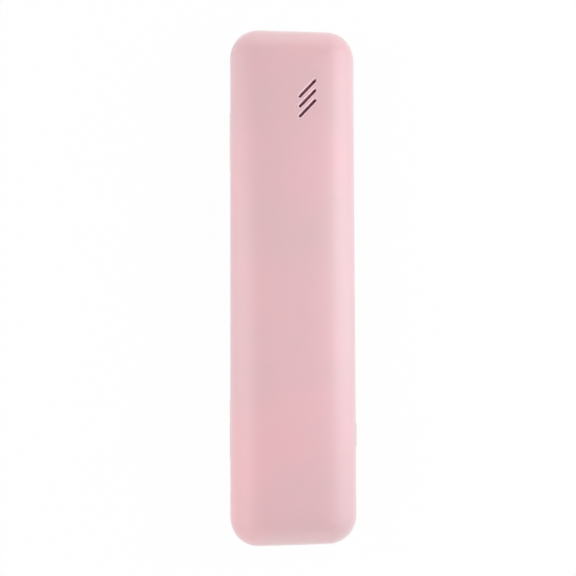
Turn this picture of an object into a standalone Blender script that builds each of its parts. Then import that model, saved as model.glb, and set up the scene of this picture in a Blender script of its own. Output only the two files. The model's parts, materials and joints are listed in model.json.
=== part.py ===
"""UV toothbrush travel case: a slim clamshell with a lamp under the brush head.

The case lies on its back: +Z is up through the lid, +Y runs to the end that takes the brush
head, and +X is the side with the start button. The hinge runs along the -X side. The origin is
on the surface that the case lies on, under its middle. All sizes are in metres.
"""

import math

import bmesh
import bpy
from mathutils import Matrix, Vector

# Outer shells
CASE_WIDTH = 0.0500
CASE_LENGTH = 0.2050
BASE_HEIGHT = 0.0150
LID_HEIGHT = 0.0147
LID_CROWN = 0.0009
CORNER_RADIUS = 0.0114
BASE_EDGE_RADIUS = 0.0086
LID_EDGE_RADIUS = 0.0106
WALL = 0.0020
PARTING_GAP = 0.0003

# Clearances
SEAT_GAP = 0.0003
SOLDER_GAP = 0.0001
SCREW_CLEARANCE = 0.00015
OVERLAP = 0.0006

# Hinge
PIN_RADIUS = 0.00065
PIN_CLEARANCE = 0.0001
KNUCKLE_WALL = 0.00095
KNUCKLE_PROUD = 0.00025
KNUCKLE_LENGTH = 0.0078
KNUCKLE_GAP = 0.0003
HINGE_FROM_END = 0.0445
HINGE_CHAMFER_DEG = 55.0
HINGE_GUSSET_HEIGHT = 0.0034
HINGE_CUT_DEPTH = 0.0100

# Vent slots in the lid
VENT_COUNT = 3
VENT_LENGTH = 0.0097
VENT_WIDTH = 0.0009
VENT_PITCH = 0.0039
VENT_ANGLE_DEG = 47.0
VENT_X = 0.0052
VENT_FROM_END = 0.0302
VENT_PATH_MARGIN = 0.0005
VENT_MESH_MARGIN = 0.0030
VENT_MESH_THICKNESS = 0.0004
VENT_MESH_CORNER = 0.0010

# Tray and liner
PAN_THICKNESS = 0.0012
PAN_FLANGE = 0.0042
PAN_FILLET = 0.0012
TRAY_DECK_DEPTH = 0.0045
TRAY_RIM_DROP = 0.0001
LINER_SIDE_GAP = 0.00042
LIP_HEIGHT = 0.0012
LINER_DEPTH = 0.0088
LINER_FILLET = 0.0030
LINER_RIM_LIFT = 0.0003
HEAD_CHAMBER_LENGTH = 0.0510
HEAD_FLOOR_HEIGHT = 0.0068

# Saddles that carry the brush
BRUSH_RADIUS = 0.0070
NECK_RADIUS = 0.0045
BRUSH_ABOVE_DECK = 0.0012
SADDLE_THICKNESS = 0.0020
SADDLE_ARM = 0.0026
SADDLE_DROP = 0.0010
SADDLE_ROUND = 0.0012
LOWER_SADDLE_FROM_END = 0.0275
UPPER_SADDLE_FROM_END = 0.0975
NECK_SADDLE_SETBACK = 0.0020

# Main circuit board
PCB_SIDE_GAP = 0.0004
PCB_THICKNESS = 0.0010
PCB_LIFT = 0.0024
PCB_PAST_BUTTON = 0.0072
PCB_WING_LENGTH = 0.0230
PCB_END_GAP = 0.0005
PCB_SCREW_SIDE_INSET = 0.0030
PCB_SCREW_INSET = 0.0062
CHIP_WIDTH = 0.0040
CHIP_HEIGHT = 0.0015
CONTROL_CHIP_LENGTH = 0.0100
CONTROL_CHIP_SETBACK = 0.0185
CHARGER_CHIP_LENGTH = 0.0050
CHARGER_CHIP_SETBACK = 0.0145
CHARGER_CHIP_OFFSET = 0.0030
INDUCTOR_SIZE = 0.0040
INDUCTOR_HEIGHT = 0.0020
INDUCTOR_SETBACK = 0.0140
INDUCTOR_OFFSET = 0.0060
HALL_SENSOR_LENGTH = 0.0030
HALL_SENSOR_WIDTH = 0.0016
HALL_SENSOR_HEIGHT = 0.0010
HALL_SENSOR_PAST_MAGNET = 0.0060
PACKAGE_ROUND = 0.0002

# Charging port and its light
USB_WIDTH = 0.00894
USB_HEIGHT = 0.00316
USB_DEPTH = 0.0073
USB_SHELL = 0.0003
USB_RECESS = 0.0010
USB_TONGUE_THICKNESS = 0.0007
USB_TONGUE_WIDTH = 0.0066
USB_TONGUE_SETBACK = 0.0007
LIGHT_PIPE_RADIUS = 0.0010
LIGHT_PIPE_FLANGE = 0.0006
LIGHT_PIPE_INSET = 0.0022
CHARGE_LED_SIZE = 0.0016

# Start button and its switch
BUTTON_FROM_END = 0.0412
BUTTON_LENGTH = 0.0114
BUTTON_HEIGHT = 0.0044
BUTTON_CENTRE_HEIGHT = 0.0112
BUTTON_PROUD = 0.0014
BUTTON_ROUND = 0.0006
BUTTON_PLATE_THICKNESS = 0.0009
BUTTON_PLATE_MARGIN = 0.0012
BUTTON_POST_RADIUS = 0.0011
BUTTON_LEG_LENGTH = 0.0030
BUTTON_LEG_THICKNESS = 0.0009
BUTTON_TRAVEL = 0.0005
SWITCH_WIDTH = 0.0060
SWITCH_HEIGHT = 0.0032
SWITCH_DEPTH = 0.0034
SWITCH_ROUND = 0.0003
STEM_RADIUS = 0.0008
STEM_PROUD = 0.0009
STEM_INSIDE = 0.0014

# Battery
BATTERY_SIDE_ROOM = 0.0080
BATTERY_LENGTH = 0.0480
BATTERY_THICKNESS = 0.0056
BATTERY_ROUND = 0.0018
BATTERY_END_ROUND = 0.0004
BATTERY_FROM_PCB = 0.0085
TAPE_THICKNESS = 0.0004
TAPE_SIDE_INSET = 0.0050
TAPE_END_INSET = 0.0048
TAPE_CORNER = 0.0010
FENCE_HEIGHT = 0.0026
FENCE_THICKNESS = 0.0012
FENCE_WIDTH = 0.0120

# Lamp board and window
UV_LED_COUNT = 3
UV_LED_PITCH = 0.0100
UV_LED_SIZE = 0.0035
UV_LED_HEIGHT = 0.0012
UV_BOARD_WIDTH = 0.0110
UV_BOARD_LENGTH = 0.0460
UV_BOARD_THICKNESS = 0.0008
UV_BOARD_LIFT = 0.0008
UV_SCREW_INSET = 0.0030
UV_BOARD_CORNER = 0.0010
UV_LED_ROUND = 0.0003
UV_LED_EDGE = 0.0002
WINDOW_OPENING_WIDTH = 0.0074
WINDOW_OPENING_LENGTH = 0.0290
WINDOW_LEDGE = 0.0012
WINDOW_THICKNESS = 0.0009
SEAL_THICKNESS = 0.0005
SEAL_WIDTH = 0.0008
WINDOW_FRAME_WALL = 0.0012
WINDOW_FRAME_FLOOR = 0.0007

# Reflector over the brush head
REFLECTOR_SIDE_GAP = 0.00388
REFLECTOR_CORNER = 0.0020
REFLECTOR_LENGTH = 0.0440
REFLECTOR_THICKNESS = 0.0005
STAKE_RADIUS = 0.0008
STAKE_HEAD_RADIUS = 0.0016
STAKE_HEAD_HEIGHT = 0.0005
STAKE_INSET = 0.0030

# Magnets that hold the lid shut
MAGNET_LENGTH = 0.0100
MAGNET_WIDTH = 0.0024
MAGNET_THICKNESS = 0.0015
MAGNET_ROUND = 0.0003
LOWER_MAGNET_FROM_END = 0.0245
UPPER_MAGNET_FROM_END = 0.0625
MAGNET_SHELF_THICKNESS = 0.0012

# Screws
TRAY_SCREW_INSET = 0.0032
LOWER_TRAY_SCREW_FROM_END = 0.0125
UPPER_TRAY_SCREW_SETBACK = 0.0150
LINER_SCREW_INSET = 0.00548
LOWER_LINER_SCREW_FROM_END = 0.0180
UPPER_LINER_SCREW_SETBACK = 0.0080
SCREW_HEAD_RADIUS = 0.0019
SCREW_HEAD_HEIGHT = 0.0011
SCREW_SHANK_RADIUS = 0.0009
TRAY_SCREW_LENGTH = 0.0050
LINER_SCREW_LENGTH = 0.0038
SMALL_HEAD_RADIUS = 0.0015
SMALL_HEAD_HEIGHT = 0.0009
SMALL_SHANK_RADIUS = 0.0006
SMALL_SCREW_LENGTH = 0.0026
BOSS_WALL = 0.0012

# Wires and their plugs
WIRE_RADIUS = 0.0005
WIRE_SPACING = 0.0015
SOCKET_WIDTH = 0.0050
SOCKET_HEIGHT = 0.0028
SOCKET_DEPTH = 0.0036
SOCKET_WALL = 0.0005
SOCKET_ROUND = 0.0003
PLUG_ROUND = 0.0002
PLUG_PROUD = 0.0014
SOCKET_SPACING = 0.0094
LED_SOCKET_INSET = 0.0052
WIRE_CHANNEL_INSET = 0.0054
WIRE_BEND = 0.0042

# Facets
CORNER_FACETS = 8
EDGE_FACETS = 7
ROUND_FACETS = 16
SMALL_FACETS = 12

# Places that follow from the sizes above
HALF_WIDTH = CASE_WIDTH / 2
HALF_LENGTH = CASE_LENGTH / 2
LID_RIM = BASE_HEIGHT + PARTING_GAP
CASE_HEIGHT = LID_RIM + LID_HEIGHT
KNUCKLE_RADIUS = PIN_RADIUS + PIN_CLEARANCE + KNUCKLE_WALL
HINGE_X = -HALF_WIDTH - KNUCKLE_PROUD + KNUCKLE_RADIUS
HINGE_Z = BASE_HEIGHT + PARTING_GAP / 2
HINGE_STATIONS = (-HALF_LENGTH + HINGE_FROM_END, HALF_LENGTH - HINGE_FROM_END)
KNUCKLE_STEP = KNUCKLE_LENGTH + KNUCKLE_GAP
PIN_LENGTH = 2 * KNUCKLE_STEP + KNUCKLE_LENGTH - 2 * SEAT_GAP

INNER_X = HALF_WIDTH - WALL
INNER_Y = HALF_LENGTH - WALL
INNER_CORNER = CORNER_RADIUS - WALL

TRAY_RIM = BASE_HEIGHT - TRAY_RIM_DROP
TRAY_HALF_X = INNER_X - SEAT_GAP - PAN_THICKNESS
TRAY_HALF_Y = INNER_Y - SEAT_GAP - PAN_THICKNESS
TRAY_CORNER = INNER_CORNER - SEAT_GAP - PAN_THICKNESS
CAVITY_X = TRAY_HALF_X - PAN_FLANGE
CAVITY_Y = TRAY_HALF_Y - PAN_FLANGE
DECK_TOP = TRAY_RIM - TRAY_DECK_DEPTH
DECK_UNDER = DECK_TOP - PAN_THICKNESS
TRAY_FLANGE_UNDER = TRAY_RIM - PAN_THICKNESS
PAN_OUTER_X = CAVITY_X + PAN_THICKNESS
CHAMBER_START = CAVITY_Y - HEAD_CHAMBER_LENGTH
CHAMBER_MIDDLE = (CHAMBER_START + CAVITY_Y) / 2

LINER_RIM = LID_RIM + LINER_RIM_LIFT
LINER_HALF_X = TRAY_HALF_X - LINER_SIDE_GAP
LINER_HALF_Y = TRAY_HALF_Y - LINER_SIDE_GAP
LINER_CAVITY_X = LINER_HALF_X - PAN_FLANGE
LINER_CORNER = TRAY_CORNER - SEAT_GAP
LINER_CEILING = LINER_RIM + LINER_DEPTH
LINER_OUTSIDE = LINER_CEILING + PAN_THICKNESS

TRAY_SCREW_X = CAVITY_X - TRAY_SCREW_INSET
LINER_SCREW_X = LINER_CAVITY_X - LINER_SCREW_INSET
REFLECTOR_WIDTH = 2 * (LINER_CAVITY_X - REFLECTOR_SIDE_GAP)
BATTERY_WIDTH = 2 * (INNER_X - BATTERY_SIDE_ROOM)
PCB_HALF_WIDTH = TRAY_SCREW_X - SCREW_SHANK_RADIUS - BOSS_WALL - PCB_SIDE_GAP
PCB_SCREW_X = PCB_HALF_WIDTH - PCB_SCREW_SIDE_INSET
LIGHT_PIPE_X = PCB_HALF_WIDTH - LIGHT_PIPE_INSET
LED_SOCKET_X = LED_SOCKET_INSET - PCB_HALF_WIDTH
BATTERY_SOCKET_X = LED_SOCKET_X + SOCKET_SPACING
WIRE_CHANNEL_X = WIRE_CHANNEL_INSET - INNER_X

FLOOR = WALL
BRUSH_AXIS = DECK_TOP + BRUSH_ABOVE_DECK + BRUSH_RADIUS
BUTTON_Y = -HALF_LENGTH + BUTTON_FROM_END
PCB_UNDER = FLOOR + PCB_LIFT
PCB_TOP = PCB_UNDER + PCB_THICKNESS
COMPONENT_BASE = PCB_TOP + SOLDER_GAP

COLLECTION = "uv_toothbrush_travel_case"
CUTTERS = "case_cutters"


# Scene and object helpers
def clear_scene():
    """Removes whatever the scene holds, so that the model starts from nothing."""
    for obj in list(bpy.data.objects):
        bpy.data.objects.remove(obj, do_unlink=True)


def make_collection(name, hidden=False):
    """Returns a new collection linked to the scene."""
    collection = bpy.data.collections.new(name)
    bpy.context.scene.collection.children.link(collection)
    collection.hide_render = hidden
    return collection


def make_material(name, colour, roughness, metallic=0.0, alpha=1.0):
    """Returns a Principled material with one colour, roughness and metallic value."""
    material = bpy.data.materials.new(name)
    material.use_nodes = True
    shader = material.node_tree.nodes["Principled BSDF"]
    shader.inputs["Base Color"].default_value = (*colour, 1.0)
    shader.inputs["Roughness"].default_value = roughness
    shader.inputs["Metallic"].default_value = metallic
    shader.inputs["Alpha"].default_value = alpha
    material.diffuse_color = (*colour, alpha)
    return material


def smooth(mesh, angle_deg=32.0):
    """Shades a mesh smooth, with its sharp edges kept."""
    mesh.shade_smooth()
    mesh.set_sharp_from_angle(angle=math.radians(angle_deg))


def add_node(name, mesh, material, location, parent=None, rotation=(0.0, 0.0, 0.0)):
    """Adds one piece of the case at a place given in the case's own frame."""
    if mesh.materials:
        mesh.materials[0] = material
    else:
        mesh.materials.append(material)
    obj = bpy.data.objects.new(name, mesh)
    bpy.data.collections[COLLECTION].objects.link(obj)
    place = Vector(location)
    if parent is not None:
        obj.parent = parent
        place = place - parent.location
    obj.location = place
    obj.rotation_euler = rotation
    return obj


def add_tool(name, mesh, location=(0.0, 0.0, 0.0), rotation=(0.0, 0.0, 0.0)):
    """Adds a helper solid that cuts, or is joined to, a piece."""
    obj = bpy.data.objects.new(name, mesh)
    bpy.data.collections[CUTTERS].objects.link(obj)
    obj.location = location
    obj.rotation_euler = rotation
    obj.hide_render = True
    obj.display_type = "WIRE"
    return obj


def add_pivot(name, location):
    """Adds an empty on a joint's axis."""
    pivot = bpy.data.objects.new(name, None)
    bpy.data.collections[COLLECTION].objects.link(pivot)
    pivot.location = location
    pivot.empty_display_size = 0.01
    return pivot


def boolean(obj, tool, operation):
    """Cuts a piece with a tool, or joins the tool to it."""
    modifier = obj.modifiers.new(f"{operation.lower()}_{tool.name}", "BOOLEAN")
    modifier.operation = operation
    modifier.solver = "EXACT"
    modifier.object = tool
    return modifier


def cut(obj, tool):
    """Takes the tool's volume away from a piece."""
    return boolean(obj, tool, "DIFFERENCE")


def join(obj, tool):
    """Fuses the tool's volume with a piece."""
    return boolean(obj, tool, "UNION")


# Mesh helpers
def to_mesh(bm, name, smooth_angle=32.0):
    """Turns a finished bmesh into a mesh."""
    bmesh.ops.recalc_face_normals(bm, faces=bm.faces)
    mesh = bpy.data.meshes.new(name)
    bm.to_mesh(mesh)
    bm.free()
    smooth(mesh, smooth_angle)
    return mesh


def blocks_mesh(name, blocks):
    """Returns boxes, each given as its low corner and its high corner."""
    bm = bmesh.new()
    for low, high in blocks:
        low = Vector(low)
        high = Vector(high)
        matrix = Matrix.Translation((low + high) / 2) @ Matrix.Diagonal((*(high - low), 1.0))
        bmesh.ops.create_cube(bm, size=1.0, matrix=matrix)
    return to_mesh(bm, name)


AXIS_TURN = {
    "X": Matrix.Rotation(math.pi / 2, 4, "Y"),
    "Y": Matrix.Rotation(math.pi / 2, 4, "X"),
    "Z": Matrix.Identity(4),
}


def rods_mesh(name, rods, axis="Z", facets=ROUND_FACETS):
    """Returns cylinders, each given as its centre, radius and length."""
    bm = bmesh.new()
    for centre, radius, length in rods:
        bmesh.ops.create_cone(
            bm,
            cap_ends=True,
            segments=facets,
            radius1=radius,
            radius2=radius,
            depth=length,
            matrix=Matrix.Translation(centre) @ AXIS_TURN[axis],
        )
    return to_mesh(bm, name)


def uprights_mesh(name, uprights, facets=ROUND_FACETS):
    """Returns upright cylinders, each given as x, y, low z, high z and radius."""
    rods = [((x, y, (low + high) / 2), radius, high - low) for x, y, low, high, radius in uprights]
    return rods_mesh(name, rods, "Z", facets)


def rounded_box_mesh(name, size, radius, axis="Z", facets=5, edge_radius=0.0):
    """Returns a box whose edges along one axis are rounded, and then its other edges if asked."""
    bm = bmesh.new()
    bmesh.ops.create_cube(bm, size=1.0, matrix=Matrix.Diagonal((*size, 1.0)))
    along = "XYZ".index(axis)
    edges = [e for e in bm.edges if abs((e.verts[0].co - e.verts[1].co)[along]) > 1e-6]
    bmesh.ops.bevel(
        bm, geom=edges, offset=radius, offset_type="OFFSET", segments=facets, profile=0.5, affect="EDGES"
    )
    if edge_radius > 0.0:
        half = size[along] / 2
        rims = [e for e in bm.edges if all(abs(abs(v.co[along]) - half) < 1e-7 for v in e.verts)]
        rims = [e for e in rims if len({round(f.normal[along], 3) for f in e.link_faces}) > 1]
        bmesh.ops.bevel(
            bm, geom=rims, offset=edge_radius, offset_type="OFFSET", segments=3, profile=0.5, affect="EDGES"
        )
    return to_mesh(bm, name)


def turned_piece(name, profile, material, location, parent=None, rotation=(0.0, 0.0, 0.0)):
    """Adds a turned piece: the profile runs from the axis at the top, down its outer side."""
    mesh = bpy.data.meshes.new(name)
    points = [(radius, 0.0, height) for radius, height in profile]
    mesh.from_pydata(points, [(i, i + 1) for i in range(len(points) - 1)], [])
    obj = add_node(name, mesh, material, location, parent, rotation)
    screw = obj.modifiers.new("turn", "SCREW")
    screw.axis = "Z"
    screw.steps = SMALL_FACETS
    screw.render_steps = SMALL_FACETS
    screw.use_merge_vertices = True
    screw.merge_threshold = 0.00001
    screw.use_smooth_shade = False
    return obj


def add_screw(name, material, location, length, small=False, pointing_up=False, parent=None):
    """Adds a pan-head screw whose head bears on the given point."""
    head = SMALL_HEAD_RADIUS if small else SCREW_HEAD_RADIUS
    height = SMALL_HEAD_HEIGHT if small else SCREW_HEAD_HEIGHT
    shank = SMALL_SHANK_RADIUS if small else SCREW_SHANK_RADIUS
    profile = [
        (0.0, height),
        (0.6 * head, height),
        (head, 0.45 * height),
        (head, 0.0),
        (shank, 0.0),
        (shank, -length + shank),
        (0.0, -length),
    ]
    turn = (math.pi, 0.0, 0.0) if pointing_up else (0.0, 0.0, 0.0)
    return turned_piece(name, profile, material, location, parent, turn)


def flat_outline(name, outlines, thickness, material, location, parent=None):
    """Adds a flat piece: the first outline is its edge and the others are holes in it."""
    curve = bpy.data.curves.new(name, "CURVE")
    curve.dimensions = "2D"
    curve.fill_mode = "BOTH"
    curve.extrude = thickness / 2
    for outline in outlines:
        spline = curve.splines.new("POLY")
        spline.points.add(len(outline) - 1)
        for point, (x, y) in zip(spline.points, outline):
            point.co = (x, y, 0.0, 1.0)
        spline.use_cyclic_u = True
    return add_node(name, curve, material, location, parent)


def circle(x, y, radius, facets=SMALL_FACETS):
    """Returns the points of a circle."""
    turns = [2 * math.pi * i / facets for i in range(facets)]
    return [(x + radius * math.cos(t), y + radius * math.sin(t)) for t in turns]


def rounded_rectangle(half_x, half_y, radius, facets=4):
    """Returns the points of a rectangle with rounded corners."""
    points = []
    for corner in range(4):
        start = corner * math.pi / 2
        sign_x = 1 if corner in (0, 3) else -1
        sign_y = 1 if corner in (0, 1) else -1
        for i in range(facets + 1):
            turn = start + math.pi / 2 * i / facets
            x = sign_x * (half_x - radius) + radius * math.cos(turn)
            y = sign_y * (half_y - radius) + radius * math.sin(turn)
            points.append((x, y))
    return points


def base_inset(height):
    """How far the base's inner face stands in from its outermost wall at a height."""
    inner_radius = BASE_EDGE_RADIUS - WALL
    rise = max(0.0, min(BASE_EDGE_RADIUS - height, inner_radius))
    return BASE_EDGE_RADIUS - math.sqrt(inner_radius**2 - rise**2)


def crown_at(x, y):
    """How far the lid's crown lifts its top at a point of the plan."""
    across = 1 - (x / HALF_WIDTH) ** 2
    along = 1 - (y / HALF_LENGTH) ** 4
    return LID_CROWN * max(across, 0.0) * max(along, 0.0)


# Forms shared by the two halves
def shell_half(name, height, edge_radius, crown):
    """Returns half of the case as an open surface: rim at z = 0, rounded top at z = height."""
    bm = bmesh.new()
    flat = height - crown
    place = Matrix.Translation((0.0, 0.0, flat / 2))
    bmesh.ops.create_cube(bm, size=1.0, matrix=place @ Matrix.Diagonal((CASE_WIDTH, CASE_LENGTH, flat, 1.0)))
    bmesh.ops.delete(bm, geom=[f for f in bm.faces if f.normal.z < -0.5], context="FACES_ONLY")
    uprights = [e for e in bm.edges if abs(e.verts[0].co.z - e.verts[1].co.z) > 1e-6]
    bmesh.ops.bevel(
        bm,
        geom=uprights,
        offset=CORNER_RADIUS,
        offset_type="OFFSET",
        segments=CORNER_FACETS,
        profile=0.5,
        affect="EDGES",
    )
    top_edges = [e for e in bm.edges if all(v.co.z > flat - 1e-7 for v in e.verts)]
    bmesh.ops.bevel(
        bm,
        geom=top_edges,
        offset=edge_radius,
        offset_type="OFFSET",
        segments=EDGE_FACETS,
        profile=0.5,
        affect="EDGES",
    )
    if crown > 0.0:
        raise_crown(bm, flat, edge_radius)
    bmesh.ops.recalc_face_normals(bm, faces=bm.faces)
    top = max(bm.faces, key=lambda f: f.calc_center_median().z)
    if top.normal.z < 0:
        bmesh.ops.reverse_faces(bm, faces=bm.faces)
    mesh = bpy.data.meshes.new(name)
    bm.to_mesh(mesh)
    bm.free()
    smooth(mesh, 40.0)
    return mesh


def raise_crown(bm, flat, edge_radius):
    """Divides the top and lifts it into a shallow crown that dies out at the walls."""
    flat_x = HALF_WIDTH - edge_radius
    flat_y = HALF_LENGTH - edge_radius
    wall_top = flat - edge_radius
    cuts = [(Vector((flat_x * s, 0, 0)), Vector((1, 0, 0))) for s in (-0.6, -0.2, 0.2, 0.6)]
    cuts += [(Vector((0, flat_y * s, 0)), Vector((0, 1, 0))) for s in (-0.95, -0.8, -0.5, 0, 0.5, 0.8, 0.95)]
    for point, normal in cuts:
        top = [f for f in bm.faces if all(v.co.z > wall_top - 1e-6 for v in f.verts)]
        geometry = top + list({e for f in top for e in f.edges}) + list({v for f in top for v in f.verts})
        bmesh.ops.bisect_plane(bm, geom=geometry, dist=1e-7, plane_co=point, plane_no=normal)
    for vert in bm.verts:
        if vert.co.z > wall_top + 1e-6:
            vert.co.z += crown_at(vert.co.x, vert.co.y)


def thicken(obj, thickness, offset=-1.0):
    """Gives an open surface its wall."""
    solidify = obj.modifiers.new("wall", "SOLIDIFY")
    solidify.thickness = thickness
    solidify.offset = offset
    solidify.use_even_offset = True
    solidify.use_quality_normals = True
    return solidify


def pan_surface(name, half_x, half_y, corner, depth, fillet, chamber_depth=0.0, lip=0.0):
    """Returns the visible face of a pan: a flange at z = 0 round a pocket that goes down.

    A chamber at the +Y end can go deeper, and a lip can stand up round the flange.
    """
    bm = bmesh.new()
    bmesh.ops.create_grid(bm, x_segments=1, y_segments=1, size=1.0)
    bmesh.ops.scale(bm, vec=(half_x, half_y, 1.0), verts=bm.verts)
    bmesh.ops.bevel(
        bm, geom=bm.verts[:], offset=corner, offset_type="OFFSET", segments=6, profile=0.5, affect="VERTICES"
    )
    face = bm.faces[:][0]
    bmesh.ops.inset_region(bm, faces=[face], thickness=PAN_FLANGE, use_boundary=True, use_even_offset=True)
    pocket = min(bm.faces, key=lambda f: f.calc_center_median().length + 10 * abs(f.normal.z - 1))
    lowered = bmesh.ops.extrude_face_region(bm, geom=[pocket])
    bmesh.ops.delete(bm, geom=[pocket], context="FACES_ONLY")
    verts = [g for g in lowered["geom"] if isinstance(g, bmesh.types.BMVert)]
    bmesh.ops.translate(bm, verts=verts, vec=(0.0, 0.0, -depth))
    round_floor(bm, -depth, fillet)
    if chamber_depth > depth:
        deepen_chamber(bm, depth, chamber_depth)
        round_floor(bm, -chamber_depth, min(fillet, (chamber_depth - depth) / 2))
    if lip > 0.0:
        rim = [e for e in bm.edges if e.is_boundary]
        raised = bmesh.ops.extrude_edge_only(bm, edges=rim)
        verts = [g for g in raised["geom"] if isinstance(g, bmesh.types.BMVert)]
        bmesh.ops.translate(bm, verts=verts, vec=(0.0, 0.0, lip))
    bmesh.ops.recalc_face_normals(bm, faces=bm.faces)
    level = [f for f in bm.faces if abs(f.calc_center_median().z) < 1e-6]
    flange = max(level, key=lambda f: abs(f.normal.z))
    if flange.normal.z < 0:
        bmesh.ops.reverse_faces(bm, faces=bm.faces)
    mesh = bpy.data.meshes.new(name)
    bm.to_mesh(mesh)
    bm.free()
    smooth(mesh, 40.0)
    return mesh


def deepen_chamber(bm, depth, chamber_depth):
    """Takes the +Y part of the pocket's floor further down."""
    floor = [f for f in bm.faces if all(abs(v.co.z + depth) < 1e-6 for v in f.verts)]
    geometry = floor + list({e for f in floor for e in f.edges}) + list({v for f in floor for v in f.verts})
    bmesh.ops.bisect_plane(
        bm, geom=geometry, dist=1e-7, plane_co=(0.0, CHAMBER_START, 0.0), plane_no=(0.0, 1.0, 0.0)
    )
    floor = [f for f in bm.faces if all(abs(v.co.z + depth) < 1e-6 for v in f.verts)]
    chamber = [f for f in floor if f.calc_center_median().y > CHAMBER_START]
    lowered = bmesh.ops.extrude_face_region(bm, geom=chamber)
    bmesh.ops.delete(bm, geom=chamber, context="FACES_ONLY")
    verts = [g for g in lowered["geom"] if isinstance(g, bmesh.types.BMVert)]
    bmesh.ops.translate(bm, verts=verts, vec=(0.0, 0.0, depth - chamber_depth))


def round_floor(bm, level, radius):
    """Rounds the edges where a pocket's walls meet its floor at one level."""
    bm.normal_update()
    edges = []
    for edge in bm.edges:
        at_level = all(abs(v.co.z - level) < 1e-6 for v in edge.verts)
        if at_level and any(abs(f.normal.z) < 0.1 for f in edge.link_faces):
            edges.append(edge)
    bmesh.ops.bevel(
        bm, geom=edges, offset=radius, offset_type="OFFSET", segments=3, profile=0.5, affect="EDGES"
    )


def knuckle_spans(of_lid):
    """Returns the low and high y of each hinge knuckle of one half."""
    spans = []
    for station in HINGE_STATIONS:
        middles = [station] if of_lid else [station - KNUCKLE_STEP, station + KNUCKLE_STEP]
        spans += [(m - KNUCKLE_LENGTH / 2, m + KNUCKLE_LENGTH / 2) for m in middles]
    return spans


def add_hinge(shell, of_lid):
    """Cuts the hinge side of one half free to swing, and gives it its knuckles and pin bores."""
    half = "lid" if of_lid else "base"
    side = 1 if of_lid else -1
    slope = math.radians(HINGE_CHAMFER_DEG)
    block = HINGE_CUT_DEPTH
    normal = Vector((math.sin(slope), 0.0, side * math.cos(slope)))
    axis = Vector((HINGE_X, 0.0, HINGE_Z))
    centre = axis + normal * (PARTING_GAP - block / 2)
    turn = side * (math.pi / 2 - slope)
    chamfer = blocks_mesh(
        f"{half}_chamfer", [((-block / 2, -HALF_LENGTH, -block / 2), (block / 2, HALF_LENGTH, block / 2))]
    )
    cut(shell, add_tool(f"{half}_hinge_chamfer", chamfer, centre, (0.0, -turn, 0.0)))

    gap_rods = []
    for low, high in knuckle_spans(not of_lid):
        centre = (HINGE_X, (low + high) / 2, HINGE_Z)
        gap_rods.append((centre, KNUCKLE_RADIUS + SEAT_GAP, high - low + 2 * KNUCKLE_GAP))
    cut(shell, add_tool(f"{half}_knuckle_room", rods_mesh(f"{half}_knuckle_room", gap_rods, "Y", 24)))

    knuckles = []
    gussets = []
    for low, high in knuckle_spans(of_lid):
        knuckles.append(((HINGE_X, (low + high) / 2, HINGE_Z), KNUCKLE_RADIUS, high - low))
        foot = HINGE_Z + side * HINGE_GUSSET_HEIGHT
        gussets.append(
            (
                (HINGE_X + 0.2 * KNUCKLE_RADIUS, low + SEAT_GAP, min(HINGE_Z, foot)),
                (HINGE_X + 0.97 * KNUCKLE_RADIUS, high - SEAT_GAP, max(HINGE_Z, foot)),
            )
        )
    join(shell, add_tool(f"{half}_knuckles", rods_mesh(f"{half}_knuckles", knuckles, "Y", 24)))
    join(shell, add_tool(f"{half}_gussets", blocks_mesh(f"{half}_gussets", gussets)))

    bores = []
    for station in HINGE_STATIONS:
        centre = (HINGE_X, station, HINGE_Z)
        bores.append((centre, PIN_RADIUS + PIN_CLEARANCE, 2 * KNUCKLE_STEP + KNUCKLE_LENGTH + KNUCKLE_GAP))
    cut(shell, add_tool(f"{half}_pin_bores", rods_mesh(f"{half}_pin_bores", bores, "Y", ROUND_FACETS)))


def vent_centres():
    """Returns the plan centre of each vent slot."""
    middle = HALF_LENGTH - VENT_FROM_END
    offsets = [(i - (VENT_COUNT - 1) / 2) * VENT_PITCH for i in range(VENT_COUNT)]
    return [(VENT_X, middle + offset) for offset in offsets]


def vent_tools(name, low, high, margin=0.0):
    """Returns one slanted slot cutter for each vent, between two heights."""
    width = VENT_WIDTH + 2 * margin
    length = VENT_LENGTH + 2 * margin
    tools = []
    for index, (x, y) in enumerate(vent_centres()):
        mesh = rounded_box_mesh(f"{name}_{index}", (length, width, high - low), 0.49 * width, "Z", 4)
        turn = (0.0, 0.0, math.radians(VENT_ANGLE_DEG))
        tools.append(add_tool(f"{name}_{index + 1}", mesh, (x, y, (low + high) / 2), turn))
    return tools


# Places of the screws
def tray_screw_places():
    """Returns the plan places of the four screws that hold the tray."""
    lower = -HALF_LENGTH + LOWER_TRAY_SCREW_FROM_END
    upper = CHAMBER_START - UPPER_TRAY_SCREW_SETBACK
    return {
        "tray_screw_lower_left": (-TRAY_SCREW_X, lower),
        "tray_screw_lower_right": (TRAY_SCREW_X, lower),
        "tray_screw_upper_left": (-TRAY_SCREW_X, upper),
        "tray_screw_upper_right": (TRAY_SCREW_X, upper),
    }


def liner_screw_places():
    """Returns the plan places of the four screws that hold the liner."""
    lower = -HALF_LENGTH + LOWER_LINER_SCREW_FROM_END
    upper = CHAMBER_START - UPPER_LINER_SCREW_SETBACK
    return {
        "liner_screw_lower_left": (-LINER_SCREW_X, lower),
        "liner_screw_lower_right": (LINER_SCREW_X, lower),
        "liner_screw_upper_left": (-LINER_SCREW_X, upper),
        "liner_screw_upper_right": (LINER_SCREW_X, upper),
    }


PCB_START = -HALF_LENGTH + base_inset(PCB_UNDER) + PCB_END_GAP
PCB_END = BUTTON_Y + PCB_PAST_BUTTON


def pcb_screw_places():
    """Returns the plan places of the two screws that hold the main board."""
    return {
        "pcb_screw_lower": (-PCB_SCREW_X, PCB_START + PCB_SCREW_INSET),
        "pcb_screw_middle": (PCB_SCREW_X, PCB_END - PCB_SCREW_INSET - BUTTON_LENGTH / 2),
    }


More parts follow.
